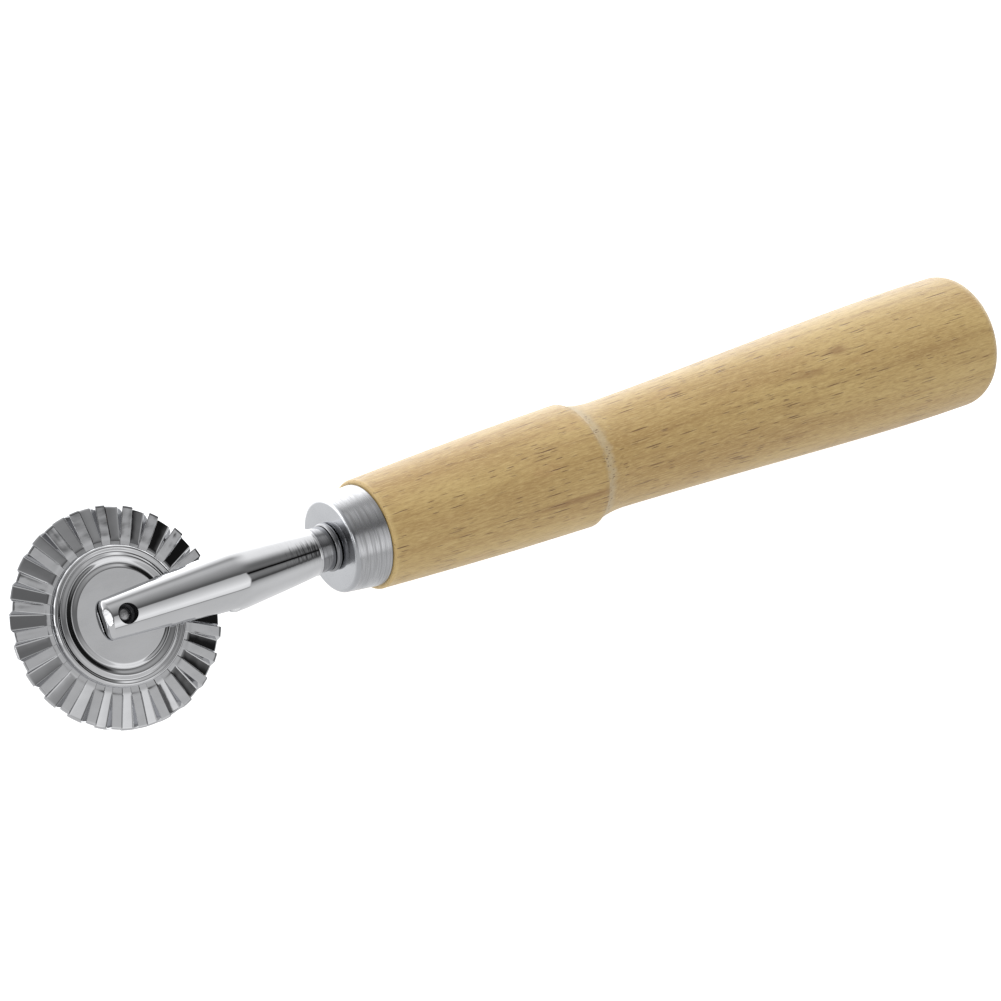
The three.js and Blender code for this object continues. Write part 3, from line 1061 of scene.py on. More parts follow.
@dataclass
class Fork:
    """The slotted double cone that carries the wheel, with the pin through its arms.

    Attributes:
        shop: Where finished pieces go.
        arm_radius: Radius of the front cone at the axle.
        waist_at: Where the two cones meet.
        blend: Half the length over which they run into each other.
        nose_edge: Radius of the edge round the flat nose.
        bevel: Filed flat on the nose: how far it reaches along the crest, its slope and its twist.
        droop: Extra fall of the rear cone at its end, and the length over which it grows.
        slot_half: Half of the slot's width.
        slot_root: How far the slot runs behind the axle.
        fillet: Radius of the slot's long edges.
        rear_radius: Radius at the fork's rear face.
        counterbore: Radius and depth of the recess round the pin's ends.
        pin_recess: How far the pin's ends lie below the arms' crests.
        socket: Radius and depth of the hole for the tang.
        arc_steps: Facets round the outside of one arm.
        side_steps: Facets down each side between the arms, behind the slot.
    """

    shop: Workshop
    arm_radius: float = mm(4.05)
    waist_at: float = mm(20.5)
    blend: float = mm(1.6)
    nose_edge: float = mm(1.1)
    bevel: tuple[float, float, float] = (mm(1.0), 0.87, 0.11)
    droop: tuple[float, float] = (mm(0.12), mm(7))
    slot_half: float = mm(1.9)
    slot_root: float = mm(19.5)
    fillet: float = mm(0.16)
    rear_radius: float = mm(3.95)
    counterbore: tuple[float, float] = (mm(1.65), mm(1.5))
    pin_recess: float = mm(1.3)
    socket: tuple[float, float] = (mm(2.45), mm(8.0))
    arc_steps: int = 56
    side_steps: int = 16

    def __post_init__(self) -> None:
        """Reads the fork's reach and its widest radius from the model."""
        self.nose_at, self.rear_at = along_axle("fork", self.shop.frame)
        self.waist_radius = half_width("fork") + mm(0.05)

    def build(self) -> None:
        """Makes the fork and its pin."""
        turned_from = self.shop.frame.axle.x + self.waist_at + mm(2)
        chrome = PolishedChrome("fork_chrome", smear=(0.02, 0.06), turned_from=turned_from).material()
        grain = (mm(0.4), mm(0.4))
        # Near-black steel on the bore and counterbores: painted shade in the recesses, not the steel's own
        # colour.
        bore_shade = DrawnSteel("bore_painted_shade", tint=(0.06, 0.06, 0.065), rough=(0.3, 0.5),
                             line=grain).material()
        self.shop.fit(self.fork(), "fork", Body.FRAME, "fork_chrome", chrome, bore_shade)
        steel = DrawnSteel("pin_steel", tint=(0.48, 0.48, 0.49), line=(mm(0.3), mm(0.3))).material()
        self.shop.fit(self.pin(), "axle_pin", Body.FRAME, "pin_steel", steel)

    def cone(self, along: float) -> float:
        """Radius of the two cones at a place, with a soft change from one to the other.

        Args:
            along: Distance from the axle.

        Returns:
            The radius.
        """
        front = lerp(self.arm_radius, self.waist_radius, along / self.waist_at)
        rear_share = (along - self.waist_at) / (self.rear_at - self.waist_at)
        rear = lerp(self.waist_radius, self.rear_radius, rear_share)
        fall, length = self.droop
        rear -= fall * max((along - self.rear_at + length) / length, 0.0) ** 2
        share = (along - self.waist_at + self.blend) / (2 * self.blend)
        if 0.0 < share < 1.0:
            start = lerp(self.arm_radius, self.waist_radius, (self.waist_at - self.blend) / self.waist_at)
            end_share = self.blend / (self.rear_at - self.waist_at)
            end = lerp(self.waist_radius, self.rear_radius, end_share)
            return (1 - share) ** 2 * start + 2 * share * (1 - share) * self.waist_radius + share ** 2 * end
        return front if along < self.waist_at else rear

    def arm_stations(self) -> list[Point2]:
        """Places along an arm with the cone's radius there, from the nose to the slot's root."""
        edge_at = self.nose_at + self.nose_edge
        edge = (self.nose_edge, self.nose_edge)
        corner = arc((edge_at, self.cone(edge_at) - self.nose_edge), edge, 180, 90, 16)
        fine_to = edge_at + mm(0.6)
        rest = [lerp(edge_at, fine_to, i / 8) for i in range(1, 9)]
        rest += [lerp(fine_to, self.slot_root, i / 42) for i in range(1, 43)]
        return corner + [(x, self.cone(x)) for x in rest]

    def filed(self, along: float, outline: list[Point2]) -> list[Point2]:
        """Takes the filed flat on the nose off one row of an arm's outline."""
        reach, slope, twist = self.bevel
        top = self.cone(self.nose_at + reach) + (along - self.nose_at - reach) * slope
        return [(y, max(min(z, top - twist * y), self.slot_half)) for y, z in outline]

    def arm_section(self, radius: float) -> tuple[list[Point2], float]:
        """Outline of one arm across the handle's axis.

        Args:
            radius: Radius of the cone here.

        Returns:
            The closed outline as (across, up) points, starting on the slot's wall, and the angle where
            the round outside begins.
        """
        centre_y = math.sqrt((radius - self.fillet) ** 2 - (self.slot_half + self.fillet) ** 2)
        centre_z = self.slot_half + self.fillet
        begin = math.atan2(centre_z, centre_y)
        small = [lerp(-math.pi / 2, begin, i / 5) for i in range(5)]
        right = [(centre_y + self.fillet * math.cos(a), centre_z + self.fillet * math.sin(a)) for a in small]
        turns = [lerp(begin, math.pi - begin, i / self.arc_steps) for i in range(self.arc_steps + 1)]
        outside = [(radius * math.cos(a), radius * math.sin(a)) for a in turns]
        left = [(-y, z) for y, z in reversed(right)]
        wall = straight((-centre_y, self.slot_half), (centre_y, self.slot_half), 10)[1:-1]
        return right + outside + left + wall, begin

    def add_row(self, shape: bmesh.types.BMesh, along: float, outline: list[Point2],
                side: float = 1.0) -> list[bmesh.types.BMVert]:
        """Adds one row of points across the axis.

        Args:
            shape: The shape under construction.
            along: Distance from the axle.
            outline: The (across, up) points.
            side: 1 for the upper arm and -1 for the lower one.

        Returns:
            The new points.
        """
        axle = self.shop.frame.axle
        return [shape.verts.new(axle + Vector((along, y, side * z))) for y, z in outline]

    def fork(self) -> bpy.types.Object:
        """The whole fork: two lofted arms, the solid rear cone and the bored holes."""
        shape = bmesh.new()
        roots = []
        for side in (1.0, -1.0):
            stations = self.arm_stations()
            rows = []
            for along, radius in stations:
                outline = self.filed(along, self.arm_section(radius)[0])
                rows.append(self.add_row(shape, along, outline, side))
            shape.faces.new(rows[0])
            for first, second in zip(rows, rows[1:]):
                bridge(shape, first, second)
            roots.append(self.arm_section(stations[-1][1]))
        self.add_rear(shape, *roots[0])
        bmesh.ops.remove_doubles(shape, verts=shape.verts, dist=mm(0.0005))
        piece = new_object("slotted_fork", shape)
        carve(piece, self.drill())
        return piece

    def add_rear(self, shape: bmesh.types.BMesh, outline: list[Point2], begin: float) -> None:
        """The solid part behind the slot, with the flat root and the socket for the tang.

        Args:
            shape: The shape under construction.
            outline: The arms' section at the slot's root.
            begin: The angle where that section's round outside begins.
        """
        count = self.arc_steps
        top = [lerp(begin, math.pi - begin, i / count) for i in range(count)]
        left = [lerp(math.pi - begin, math.pi + begin, i / self.side_steps) for i in range(self.side_steps)]
        turns = top + left
        turns += [a + math.pi for a in turns]
        edge = mm(0.25)
        reach, socket_radius = self.socket[1], self.socket[0]
        steps = 44
        stations = [lerp(self.slot_root, self.rear_at - edge, i / steps) for i in range(steps + 1)]
        profile = [(x, self.cone(x)) for x in stations]
        profile += arc((self.rear_at - edge, self.rear_radius - edge), (edge, edge), 72, 0, 4)
        profile += [(self.rear_at, socket_radius), (self.rear_at - reach, socket_radius)]
        rows = []
        for along, radius in profile:
            ring = [(radius * math.cos(a), radius * math.sin(a)) for a in turns]
            rows.append(self.add_row(shape, along, ring))
        for first, second in zip(rows, rows[1:]):
            bridge(shape, first, second)
        shape.faces.new(rows[-1])
        self.add_root(shape, outline, begin)

    def add_root(self, shape: bmesh.types.BMesh, outline: list[Point2], begin: float) -> None:
        """The flat end of the slot.

        Args:
            shape: The shape under construction.
            outline: The arms' section at the slot's root.
            begin: The angle where that section's round outside begins.
        """
        radius = self.cone(self.slot_root)
        corner = 5
        right_up = list(reversed(outline[:corner + 1]))
        left_up = outline[corner + self.arc_steps:2 * corner + 1 + self.arc_steps]
        wall = outline[2 * corner + 1 + self.arc_steps:]
        upper = right_up + list(reversed(wall)) + list(reversed(left_up))
        count = self.side_steps
        sides = [lerp(math.pi - begin, math.pi + begin, i / count) for i in range(1, count)]
        left_side = [(radius * math.cos(a), radius * math.sin(a)) for a in sides]
        lower = [(-y, -z) for y, z in upper]
        right_side = [(-y, -z) for y, z in left_side]
        row = self.add_row(shape, self.slot_root, upper + left_side + lower + right_side)
        shape.faces.new(row)

    def drill(self) -> bpy.types.Object:
        """What the pin's bore and its two counterbores take away."""
        pin = half_width("axle_pin")
        bore = pin + mm(0.03)
        wide, depth = self.counterbore
        floor = self.arm_radius - depth
        top = 1.6 * self.arm_radius
        half = [(0.0, bore), (floor, bore), (floor + mm(0.04), wide - mm(0.04)), (floor + mm(0.08), wide)]
        half += [(top, wide)]
        profile = [(-top, 0.0)] + [(-a, r) for a, r in reversed(half)] + half[1:] + [(top, 0.0)]
        return turned(self.shop.frame, "drill", profile, Axis.AXLE, sides=96)

    def pin(self) -> bpy.types.Object:
        """The axle pin with softly domed ends."""
        radius = half_width("axle_pin")
        half = self.arm_radius - self.pin_recess
        edge = mm(0.22)
        dome = mm(0.14)
        cap = arc((half - dome, 0.0), (dome, radius - edge), 0, 76, 10)
        corner = arc((half - edge - dome, radius - edge), (edge, edge), 40, 90, 6)
        end = cap + corner
        profile = [(-a, r) for a, r in end] + list(reversed(end))
        piece = turned(self.shop.frame, "turned_axle_pin", profile, Axis.AXLE, sides=72)
        shade(piece)
        return piece


@dataclass
class Neck:
    """The steel tang and the ferrule that it passes through.

    Attributes:
        shop: Where finished pieces go.
        neck_radius: Radius of the part that shows.
        bead: Length and rise of the small ring ahead of the ferrule.
        groove: Width and depth of the groove beside it, which is painted dark as shade.
        spigot: Radius and length of the end inside the fork.
        rod: Radius of the part inside the wood, and length of its pointed end.
        wall: Thickness of the ferrule.
        front_edge: Radius of the ferrule's front edge.
        front_radius: Radius of the ferrule at its front.
        gap: Clearance that seated pieces keep.
    """

    shop: Workshop
    neck_radius: float = mm(3.7)
    bead: tuple[float, float] = (mm(1.0), mm(0.35))
    groove: tuple[float, float] = (mm(0.2), mm(0.15))
    spigot: tuple[float, float] = (mm(2.4), mm(8.0))
    rod: tuple[float, float] = (mm(2.5), mm(4.0))
    wall: float = mm(0.8)
    front_edge: float = mm(0.7)
    front_radius: float = mm(7.9)
    gap: float = mm(0.05)

    def build(self) -> None:
        """Makes the tang and the ferrule."""
        steel = DrawnSteel("tang_steel", tint=(0.3, 0.303, 0.315), rough=(0.1, 0.24),
                           line=(mm(0.25), mm(3))).material()
        # Near-black steel in the grooves by the bead and on the ferrule's rear lip: painted shade in the
        # creases and at the joint with the wood.
        groove_shade = DrawnSteel("groove_painted_shade", tint=(0.03, 0.03, 0.032), rough=(0.4, 0.6),
                          line=(mm(0.2), mm(2))).material()
        self.shop.fit(self.tang(), "tang", Body.FRAME, "tang_steel", steel, groove_shade)
        side = DrawnSteel("ferrule_side_steel", tint=(0.54, 0.545, 0.56), rough=(0.2, 0.34),
                          line=(mm(0.22), mm(6)), depth=mm(0.003)).material()
        face = PolishedChrome("ferrule_face_steel", tint=(0.5, 0.51, 0.53), smear=(0.12, 0.2)).material()
        self.shop.fit(self.ferrule(), "ferrule", Body.FRAME, "ferrule_steel", side, face, groove_shade)

    def tang(self) -> bpy.types.Object:
        """The neck with its bead, the spigot ahead of it and the rod behind it."""
        front, rear = along_axle("tang", self.shop.frame)
        _, fork_rear = along_axle("fork", self.shop.frame)
        ferrule, _ = along_axle("ferrule", self.shop.frame)
        bead_length, bead_rise = self.bead
        start = fork_rear + self.gap
        bead_at = ferrule - bead_length / 2 - 2 * self.gap
        profile = [(front, 0.0), (front, self.spigot[0]), (start, self.spigot[0])]
        profile += arc((start + mm(0.1), self.neck_radius - mm(0.1)), (mm(0.1), mm(0.1)), 180, 90, 3)
        width, depth = self.groove
        first, last = bead_at - bead_length / 2, bead_at + bead_length / 2
        bottom = self.neck_radius - depth
        profile += [(first - width, self.neck_radius)]
        profile += [(first - 0.8 * width, bottom), (first - 0.2 * width, bottom)]
        profile += arc((bead_at, self.neck_radius), (bead_length / 2, bead_rise), 175, 5, 16)
        profile += [(last + mm(0.01), bottom), (ferrule + self.wall, bottom)]
        profile += [(ferrule + self.wall, self.rod[0]), (rear - self.rod[1], self.rod[0])]
        profile += [(rear, self.rod[0] / 3), (rear, 0.0)]
        piece = turned(self.shop.frame, "turned_tang", profile, Axis.HANDLE)
        # Faces in the grooves and in the gap into the ferrule take the second material, painted shade.
        for face in piece.data.polygons:
            place = face.center.x - self.shop.frame.axle.x
            ahead_of_bead = first - 0.9 * width < place < first - 0.05 * width
            in_groove = ahead_of_bead or last < place < ferrule + self.wall
            face.material_index = 1 if in_groove else 0
        shade(piece, 45.0)
        return piece

    def ferrule(self) -> bpy.types.Object:
        """The conical cup; its front face and edge are polished, its side is drawn and its rear lip is
        painted dark as shade at the joint with the wood.
        """
        front, rear = along_axle("ferrule", self.shop.frame)
        rear_radius = half_width("ferrule")
        hole = self.neck_radius + self.gap
        inside = front + self.wall
        lining = self.front_radius - self.wall
        edge = self.front_edge
        profile = [(inside, hole), (front + mm(0.1), hole), (front, hole + mm(0.1))]
        profile += arc((front + edge, self.front_radius - edge), (edge, edge), 180, 92, 10)
        polished_to = front + edge * 0.9
        lip = mm(0.14)
        profile += [(rear - lip, rear_radius), (rear, rear_radius - lip), (rear, lining), (inside, lining)]
        piece = turned(self.shop.frame, "conical_ferrule", profile, Axis.HANDLE, True)
        limit = polished_to + self.shop.frame.axle.x
        # The rear lip takes the third material, painted shade at the joint with the wood.
        for face in piece.data.polygons:
            behind = face.center.x > self.shop.frame.axle.x + rear - lip
            face.material_index = 2 if behind else int(face.center.x < limit)
        shade(piece, 50.0)
        return piece


@dataclass
class Handle:
    """The turned wooden handle.

    Attributes:
        shop: Where finished pieces go.
        shoulder: Radius of the front face and radius of its edge.
        barrel_radius: Radius at the ridge.
        barrel_length: From the shoulder to the ridge.
        swell: How far the barrel bulges over a straight cone.
        waist_drop: The waist's radius is this much less than the ridge's.
        cove: Length of the cove, and the drop at the ridge's rear edge.
        butt: Length from the widest place to the end, and radius of the corner.
        bore: Radius of the hole for the tang, and how far it runs past the ferrule's front.
        tenon: Radius of the end inside the ferrule.
        unevenness: Height of the hand-sanded waves.
    """

    shop: Workshop
    shoulder: tuple[float, float] = (mm(9.2), mm(0.5))
    barrel_radius: float = mm(10.78)
    barrel_length: float = mm(41.95)
    swell: float = mm(0.18)
    waist_drop: float = mm(1.43)
    cove: tuple[float, float] = (mm(7.5), mm(0.35))
    butt: tuple[float, float] = (mm(7.5), mm(3.2))
    bore: tuple[float, float] = (mm(2.55), mm(35.0))
    tenon: float = mm(7.05)
    unevenness: float = mm(0.05)

    def __post_init__(self) -> None:
        """Works out the places along the handle from the model."""
        _, ferrule_rear = along_axle("ferrule", self.shop.frame)
        self.tenon_at, self.end = along_axle("handle", self.shop.frame)
        self.shoulder_at = ferrule_rear + mm(0.05)
        self.ridge_at = self.shoulder_at + self.barrel_length
        self.butt_radius = half_width("handle")

    def build(self) -> None:
        """Makes the handle."""
        axle = self.shop.frame.axle
        finish = VarnishedWood(axle.x + self.ridge_at, self.cove[0], axle.x + self.shoulder_at,
                               tuple(self.stains(axle)))
        self.shop.fit(self.handle(), "handle", Body.FRAME, "handle_wood", finish.material())

    def stains(self, axle: Vector) -> list[Mark]:
        """The brown stains: a streak across the ridge, a smudge behind it and two on the grip.

        Args:
            axle: Centre of the wheel.

        Returns:
            The stains.
        """
        rows = (
            (mm(-12), 122.0, (mm(20), mm(0.7), mm(0.7)), 0.6),
            (mm(12), 118.0, (mm(8), mm(1.5), mm(1.5)), 0.5),
            (mm(54), 66.0, (mm(3), mm(1.5), mm(1.5)), 0.6),
            (mm(46), 78.0, (mm(6), mm(1.0), mm(1.0)), 0.4),
            (mm(24), 60.0, (mm(12), mm(0.9), mm(0.9)), 0.35))
        stains = []
        for behind, degrees, reach, strength in rows:
            turn = math.radians(degrees)
            side, rise = self.barrel_radius * math.cos(turn), self.barrel_radius * math.sin(turn)
            out = Vector((self.ridge_at + behind, side, rise))
            stains.append(Mark(axle + out, reach, strength))
        return stains

    def barrel(self) -> list[Point2]:
        """Outline from the shoulder's edge to the ridge."""
        start = self.shoulder_at + self.shoulder[1]
        steps = 40
        points = []
        for i in range(1, steps + 1):
            share = i / steps
            radius = lerp(self.shoulder[0], self.barrel_radius, share)
            radius += self.swell * math.sin(math.pi * share)
            points.append((lerp(start, self.ridge_at, share), radius))
        return points

    def grip(self) -> list[Point2]:
        """Outline from the ridge's rear edge through the cove to the widest place of the butt."""
        length, step = self.cove
        waist_radius = self.barrel_radius - self.waist_drop
        waist_at = self.ridge_at + length
        butt_at = self.end - self.butt[0]
        cove = bezier(((self.ridge_at + step, self.barrel_radius - step), (waist_at, waist_radius)),
                      ((self.ridge_at + length / 3, waist_radius + step),
                       (waist_at - length / 3, waist_radius)), 18)
        flare_length = butt_at - waist_at
        flare = bezier(((waist_at, waist_radius), (butt_at, self.butt_radius)),
                       ((waist_at + flare_length / 3, waist_radius + mm(0.7)),
                        (butt_at - flare_length / 4, self.butt_radius)), 60)
        return cove + flare[1:]

    def handle(self) -> bpy.types.Object:
        """The whole handle with its tenon and bore."""
        ferrule_front, _ = along_axle("ferrule", self.shop.frame)
        bore_radius, bore_reach = self.bore
        bore_end = ferrule_front + bore_reach
        radius, edge = self.shoulder
        corner = self.butt[1]
        profile = [(bore_end, 0.0), (bore_end, bore_radius), (self.tenon_at, bore_radius)]
        profile += [(self.tenon_at, self.tenon), (self.shoulder_at, self.tenon)]
        profile += arc((self.shoulder_at + edge, radius - edge), (edge, edge), 180, 90, 6)
        profile += self.barrel() + self.grip()
        profile += arc((self.end - corner, self.butt_radius - corner), (corner, corner), 90, 0, 16)
        flat = straight((self.end, self.butt_radius - corner), (self.end, 0.0), 8)
        piece = turned(self.shop.frame, "turned_handle", profile + flat[1:], Axis.HANDLE, sides=192)
        self.sand(piece)
        shade(piece, 50.0)
        return piece

    def sand(self, piece: bpy.types.Object) -> None:
        """Gives the outside the slight unevenness of hand sanding, always inwards.

        Args:
            piece: The turned handle.
        """
        axle = self.shop.frame.axle
        for vertex in piece.data.vertices:
            out = Vector((0.0, vertex.co.y, vertex.co.z - axle.z))
            inside = vertex.co.x - axle.x < self.shoulder_at + self.shoulder[1] or out.length < self.tenon
            if inside:
                continue
            spot = Vector((vertex.co.x * 60, vertex.co.y * 180, vertex.co.z * 180))
            depth = self.unevenness * (0.5 + 0.5 * noise.noise(spot))
            vertex.co -= out.normalized() * depth


# ---- studio ---------------------------------------------------------------------------------------


Bands = tuple[tuple[float, float], ...]


@dataclass(frozen=True)
class Surroundings:
    """What the room looks like from the tool, as brightness on a display.

    Directions are told by their tilt, in degrees from straight up towards +Y, and by how far they
    point along +X, from -1 to 1. A long soft box hangs on the -Y side of the tool, a dark gap lies
    between it and the bright +Y side, and the end behind the handle is dark.

    Attributes:
        strip: Brightness by tilt abreast of the tool, through the soft box.
        beyond: The same past the soft box's end, over the handle.
        ahead: The same ahead of the tool's wheel.
        dark: Brightness low over the handle.
        strip_end: Where along X the soft box ends, and over what width.
        soft_end: The same for the room above and below the soft box.
        box_half: Half of the soft box's height, in degrees of tilt.
        strip_start: Where it starts, and over what width.
        dark_from: Where the dark end begins, and over what width.
        window: Direction of a bright window, and the angles where it is full and gone, in degrees.
        window_light: Its light.
        fill: Brightness of the even light on matt surfaces, by tilt.
        mirror: The share of light that the chrome sends back.
    """

    strip: Bands = (
        (-180, 0.85), (-110, 0.73), (-60, 0.71), (-50.5, 0.69), (-49, 0.52), (-47.5, 0.54), (-45, 0.84),
        (-32, 0.9), (-20, 0.81), (-10, 0.735), (0, 0.67), (3.5, 0.64), (5, 0.33), (10, 0.33), (20, 0.45),
        (29, 0.53),
        (39, 0.6), (49, 0.68), (58, 0.7), (66, 0.6), (70, 0.56), (74, 0.66), (79, 0.8), (88, 0.98),
        (96, 1.15), (115, 1.38), (150, 1.3), (180, 0.85))
    beyond: Bands = (
        (-180, 0.85), (-90, 0.73), (-64, 0.75), (-53, 0.72), (-42, 0.62), (-36, 0.5), (-33, 0.26),
        (-29, 0.28), (-21, 0.42), (-11, 0.47), (-5, 0.4), (-3, 0.07), (2, 0.06), (5, 0.34), (11, 0.4),
        (21, 0.38),
        (28, 0.42), (32, 0.5), (42, 0.7), (53, 0.86), (64, 0.9), (84, 0.94), (95, 1.05), (115, 1.38),
        (150, 1.3), (180, 0.85))
    ahead: Bands = (
        (-180, 0.85), (-110, 0.73), (-60, 0.72), (-35, 0.72), (-15, 0.6), (0, 0.4), (15, 0.38), (31, 0.5),
        (60, 0.62), (80, 0.8), (95, 1.05), (115, 1.4), (150, 1.3), (180, 0.85))
    dark: Bands = (
        (-180, 0.85), (-110, 0.73), (-70, 0.72), (-45, 0.6), (-25, 0.14), (0, 0.1), (45, 0.12), (60, 0.5),
        (80, 0.9), (100, 1.15), (115, 1.38), (150, 1.3), (180, 0.85))
    strip_end: tuple[float, float] = (0.535, 0.03)
    soft_end: tuple[float, float] = (0.5, 0.22)
    box_half: float = 29.0
    strip_start: tuple[float, float] = (0.1, 0.1)
    dark_from: tuple[float, float] = (0.66, 0.12)
    window: tuple[tuple[float, float, float], float, float] = ((-0.84, 0.0, 0.54), 7.0, 12.0)
    window_light: float = 2.6
    fill: Bands = (
        (-180, 1.2), (-90, 1.15), (-60, 1.05), (-30, 1.0), (0, 1.05), (30, 1.15), (60, 1.45), (90, 1.62),
        (150, 1.42), (180, 1.25))
    mirror: float = 0.54


@dataclass
class Studio:
    """The pale floor, the soft light all round and the camera.

    Attributes:
        frame: The places that the model fixes.
        room: What the polished pieces and the matt ones see.
        standoff: Camera's place from the wheel's centre.
        aim: Place that it looks at, from the wheel's centre.
        heading: Degrees that the picture's upright is turned from +Y towards +X.
        lens: Focal length in millimetres, on a 36 mm wide picture.
    """

    frame: Frame
    room: Surroundings = Surroundings()
    standoff: tuple[float, float, float] = (mm(-212.9), 0.0, mm(456.6))
    aim: tuple[float, float, float] = (mm(72.5), mm(-1.7), 0.0)
    heading: float = 21.38
    lens: float = 116.9

    def build(self) -> None:
        """Sets the camera, the floor and the light."""
        self.camera()
        self.floor()
        self.surroundings()
        bpy.context.scene.view_settings.view_transform = "Standard"

    def camera(self) -> None:
        """Places the camera and makes it the scene's own."""
        data = bpy.data.cameras.new("camera")
        data.lens = self.lens
        data.sensor_width = 36.0
        data.clip_start = 0.01
        eye = self.frame.axle + Vector(self.standoff)
        forward = (self.frame.axle + Vector(self.aim) - eye).normalized()
        turn = math.radians(self.heading)
        hint = Vector((math.sin(turn), math.cos(turn), 0.0))
        right = forward.cross(hint).normalized()
        upright = right.cross(forward)
        camera = bpy.data.objects.new("camera", data)
        columns = Matrix((right, upright, -forward)).transposed()
        camera.matrix_world = Matrix.Translation(eye) @ columns.to_4x4()
        bpy.context.scene.collection.objects.link(camera)
        bpy.context.scene.camera = camera

    def floor(self) -> None:
        """A wide sheet of pale paper at the height of the tool's lowest line."""
        shape = bmesh.new()
        bmesh.ops.create_grid(shape, x_segments=8, y_segments=8, size=3.0)
        sheet = new_object("floor", shape)
        sheet.data.materials.append(FloorPaper().material())
        sheet.visible_glossy = False

    def surroundings(self) -> None:
        """Lights the scene: one look for mirror-like surfaces, one for matt ones and a plain backdrop."""
        world = bpy.data.worlds.new("soft_light")
        bpy.context.scene.world = world
        world.use_nodes = True
        sky = Sky(world.node_tree)
        room = self.room
        tables = (room.strip, room.beyond, room.ahead, room.dark)
        strip, beyond, ahead, dark = (sky.bands(table, room.mirror) for table in tables)
        rounding = sky.math("MULTIPLY", sky.math("POWER", sky.math("ADD", sky.tilt, 22.0), 2.0), 6e-5)
        rounding = sky.math("MINIMUM", rounding, 0.03)
        sharp = sky.step(sky.math("ADD", sky.along, rounding), *room.strip_end)
        away = sky.math("ABSOLUTE", sky.math("ADD", sky.tilt, 22.0))
        off_box = sky.step(away, room.box_half, 8.0)
        past_end = sky.mix(off_box, sharp, sky.step(sky.along, *room.soft_end))
        before_start = sky.math("SUBTRACT", 1.0, sky.step(sky.along, *room.strip_start))
        look = sky.mix(past_end, sky.mix(before_start, strip, ahead), beyond)
        look = sky.mix(sky.step(sky.along, *room.dark_from), look, dark)
        direction, full, gone = room.window
        near = sky.toward(Vector(direction).normalized())
        low, high = math.cos(math.radians(gone)), math.cos(math.radians(full))
        lit = sky.math("MULTIPLY", sky.step(near, 0.5 * (low + high), high - low), room.window_light)
        look = sky.math("MAXIMUM", look, lit)
        sky.finish(look, sky.bands(room.fill, 1.0), 1.0)


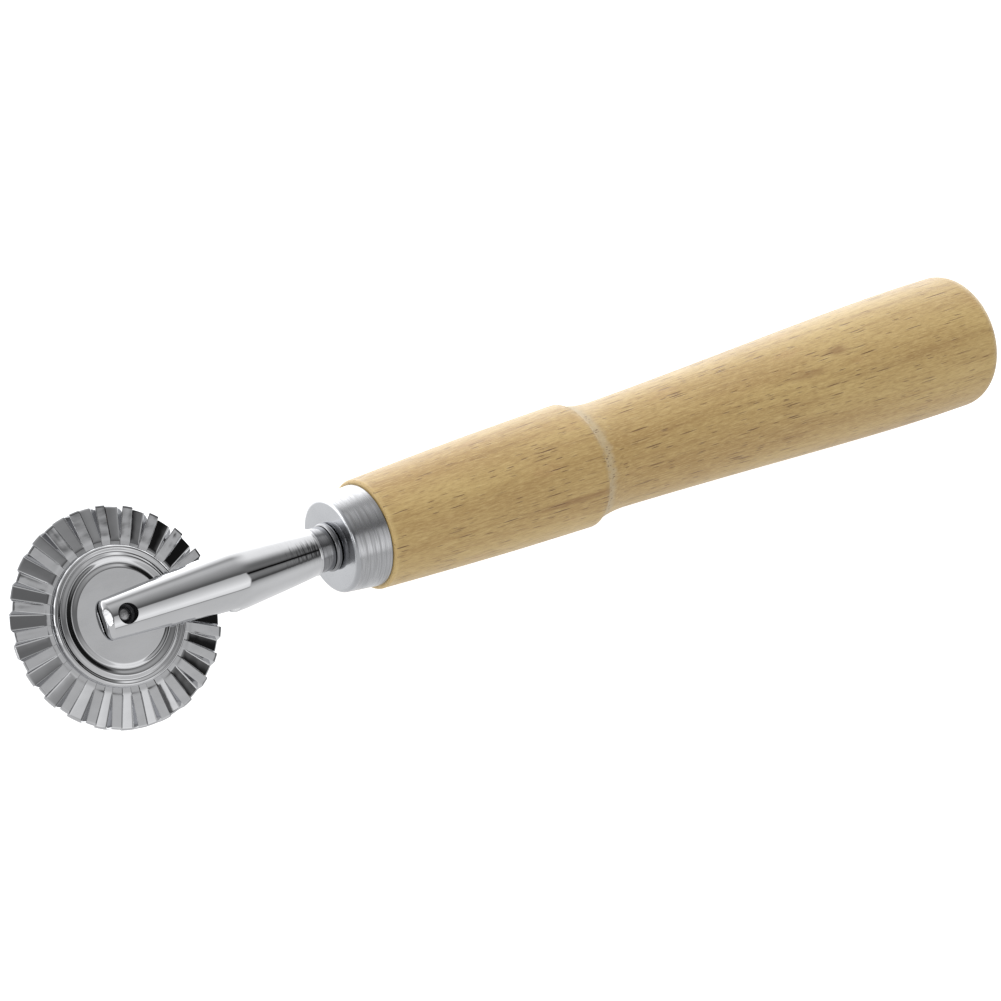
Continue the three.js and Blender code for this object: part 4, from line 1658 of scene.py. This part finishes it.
class Sky:
    """The world's nodes, with short calls for what the surroundings need."""

    def __init__(self, tree: bpy.types.NodeTree) -> None:
        """Starts with a direction's parts: its tilt in degrees and how far it points along +X.

        Args:
            tree: The world's node tree.
        """
        self.tree = tree
        tree.nodes.clear()
        self.direction = tree.nodes.new("ShaderNodeTexCoord").outputs["Generated"]
        split = tree.nodes.new("ShaderNodeSeparateXYZ")
        tree.links.new(self.direction, split.inputs[0])
        self.along = split.outputs[0]
        turn = self.math("ARCTAN2", split.outputs[1], split.outputs[2])
        self.tilt = self.math("MULTIPLY", turn, math.degrees(1.0))

    def math(self, operation: str, *values: bpy.types.NodeSocket | float) -> bpy.types.NodeSocket:
        """One sum on two values.

        Args:
            operation: The node's operation.
            *values: Sockets or numbers.

        Returns:
            The result.
        """
        node = self.tree.nodes.new("ShaderNodeMath")
        node.operation = operation
        for socket, value in zip(node.inputs, values):
            if isinstance(value, float):
                socket.default_value = value
            else:
                self.tree.links.new(value, socket)
        return node.outputs[0]

    def step(self, value: bpy.types.NodeSocket, middle: float, width: float) -> bpy.types.NodeSocket:
        """A smooth step from 0 to 1 round a middle value."""
        node = self.tree.nodes.new("ShaderNodeMapRange")
        node.interpolation_type = "SMOOTHSTEP"
        node.inputs["From Min"].default_value = middle - width / 2
        node.inputs["From Max"].default_value = middle + width / 2
        self.tree.links.new(value, node.inputs["Value"])
        return node.outputs[0]

    def toward(self, target: Vector) -> bpy.types.NodeSocket:
        """The cosine of the angle between a direction and a target."""
        node = self.tree.nodes.new("ShaderNodeVectorMath")
        node.operation = "DOT_PRODUCT"
        node.inputs[1].default_value = target
        self.tree.links.new(self.direction, node.inputs[0])
        return node.outputs["Value"]

    def mix(self, share: bpy.types.NodeSocket, first: bpy.types.NodeSocket,
            second: bpy.types.NodeSocket) -> bpy.types.NodeSocket:
        """Mixes two values.

        Args:
            share: How much of the second shows.
            first: First value.
            second: Second value.

        Returns:
            The mixed value.
        """
        node = self.tree.nodes.new("ShaderNodeMix")
        for socket, value in zip((node.inputs[0], node.inputs[2], node.inputs[3]), (share, first, second)):
            self.tree.links.new(value, socket)
        return node.outputs[0]

    def bands(self, bands: Bands, mirror: float) -> bpy.types.NodeSocket:
        """Light by tilt.

        Args:
            bands: Tilt in degrees and brightness on a display, in order of tilt.
            mirror: Share of the light that the surface in question sends back.

        Returns:
            The light.
        """
        lights = [bright ** 2.2 / mirror for _, bright in bands]
        most = max(lights)
        place = self.tree.nodes.new("ShaderNodeMapRange")
        place.inputs["From Min"].default_value = -180.0
        place.inputs["From Max"].default_value = 180.0
        self.tree.links.new(self.tilt, place.inputs["Value"])
        ramp = self.tree.nodes.new("ShaderNodeValToRGB")
        self.tree.links.new(place.outputs[0], ramp.inputs[0])
        stops = ramp.color_ramp.elements
        while len(stops) > 1:
            stops.remove(stops[-1])
        for index, ((tilt, _), light) in enumerate(zip(bands, lights)):
            stop = stops[0] if index == 0 else stops.new(1.0)
            stop.position = (tilt + 180.0) / 360.0
            stop.color = (light / most, light / most, light / most, 1.0)
        grey = self.tree.nodes.new("ShaderNodeRGBToBW")
        self.tree.links.new(ramp.outputs[0], grey.inputs[0])
        return self.math("MULTIPLY", grey.outputs[0], most)

    def finish(self, mirrored: bpy.types.NodeSocket, fill: bpy.types.NodeSocket, backdrop: float) -> None:
        """Gives each kind of ray its own light.

        Args:
            mirrored: What polished surfaces reflect.
            fill: What lights matt surfaces.
            backdrop: Brightness behind everything.
        """
        path = self.tree.nodes.new("ShaderNodeLightPath")
        light = self.mix(path.outputs["Is Diffuse Ray"], mirrored, fill)
        shader = self.tree.nodes.new("ShaderNodeBackground")
        self.tree.links.new(light, shader.inputs["Strength"])
        plain = self.tree.nodes.new("ShaderNodeBackground")
        plain.inputs["Strength"].default_value = backdrop
        either = self.tree.nodes.new("ShaderNodeMixShader")
        self.tree.links.new(path.outputs["Is Camera Ray"], either.inputs[0])
        self.tree.links.new(shader.outputs[0], either.inputs[1])
        self.tree.links.new(plain.outputs[0], either.inputs[2])
        output = self.tree.nodes.new("ShaderNodeOutputWorld")
        self.tree.links.new(either.outputs[0], output.inputs["Surface"])


def dress_hidden(nodes: dict[str, bpy.types.Object]) -> None:
    """Gives the bush, which stays as the model has it, its own finish.

    Args:
        nodes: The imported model's nodes by name.
    """
    bush = nodes["hub_bush"]
    steel = DrawnSteel("bush_steel", tint=(0.45, 0.45, 0.45), line=(mm(0.4), mm(0.4))).material()
    if not bush.data.materials:
        bush.data.materials.append(steel)
    for slot in bush.material_slots:
        slot.material = steel
    LOG.info("hub_bush keeps its shape")


def main() -> None:
    """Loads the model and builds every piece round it."""
    logging.basicConfig(level=logging.INFO, format="%(name)s: %(message)s")
    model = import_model()
    frame = Frame(axle=Vector(model["joints"][0]["pos_m"]))
    shop = Workshop(frame)
    Studio(frame).build()
    for assembly in (Wheel(shop), Fork(shop), Neck(shop), Handle(shop)):
        assembly.build()
    dress_hidden(model["nodes"])
    LOG.info("%d pieces made", len(shop.made))


if __name__ == "__main__":
    main()
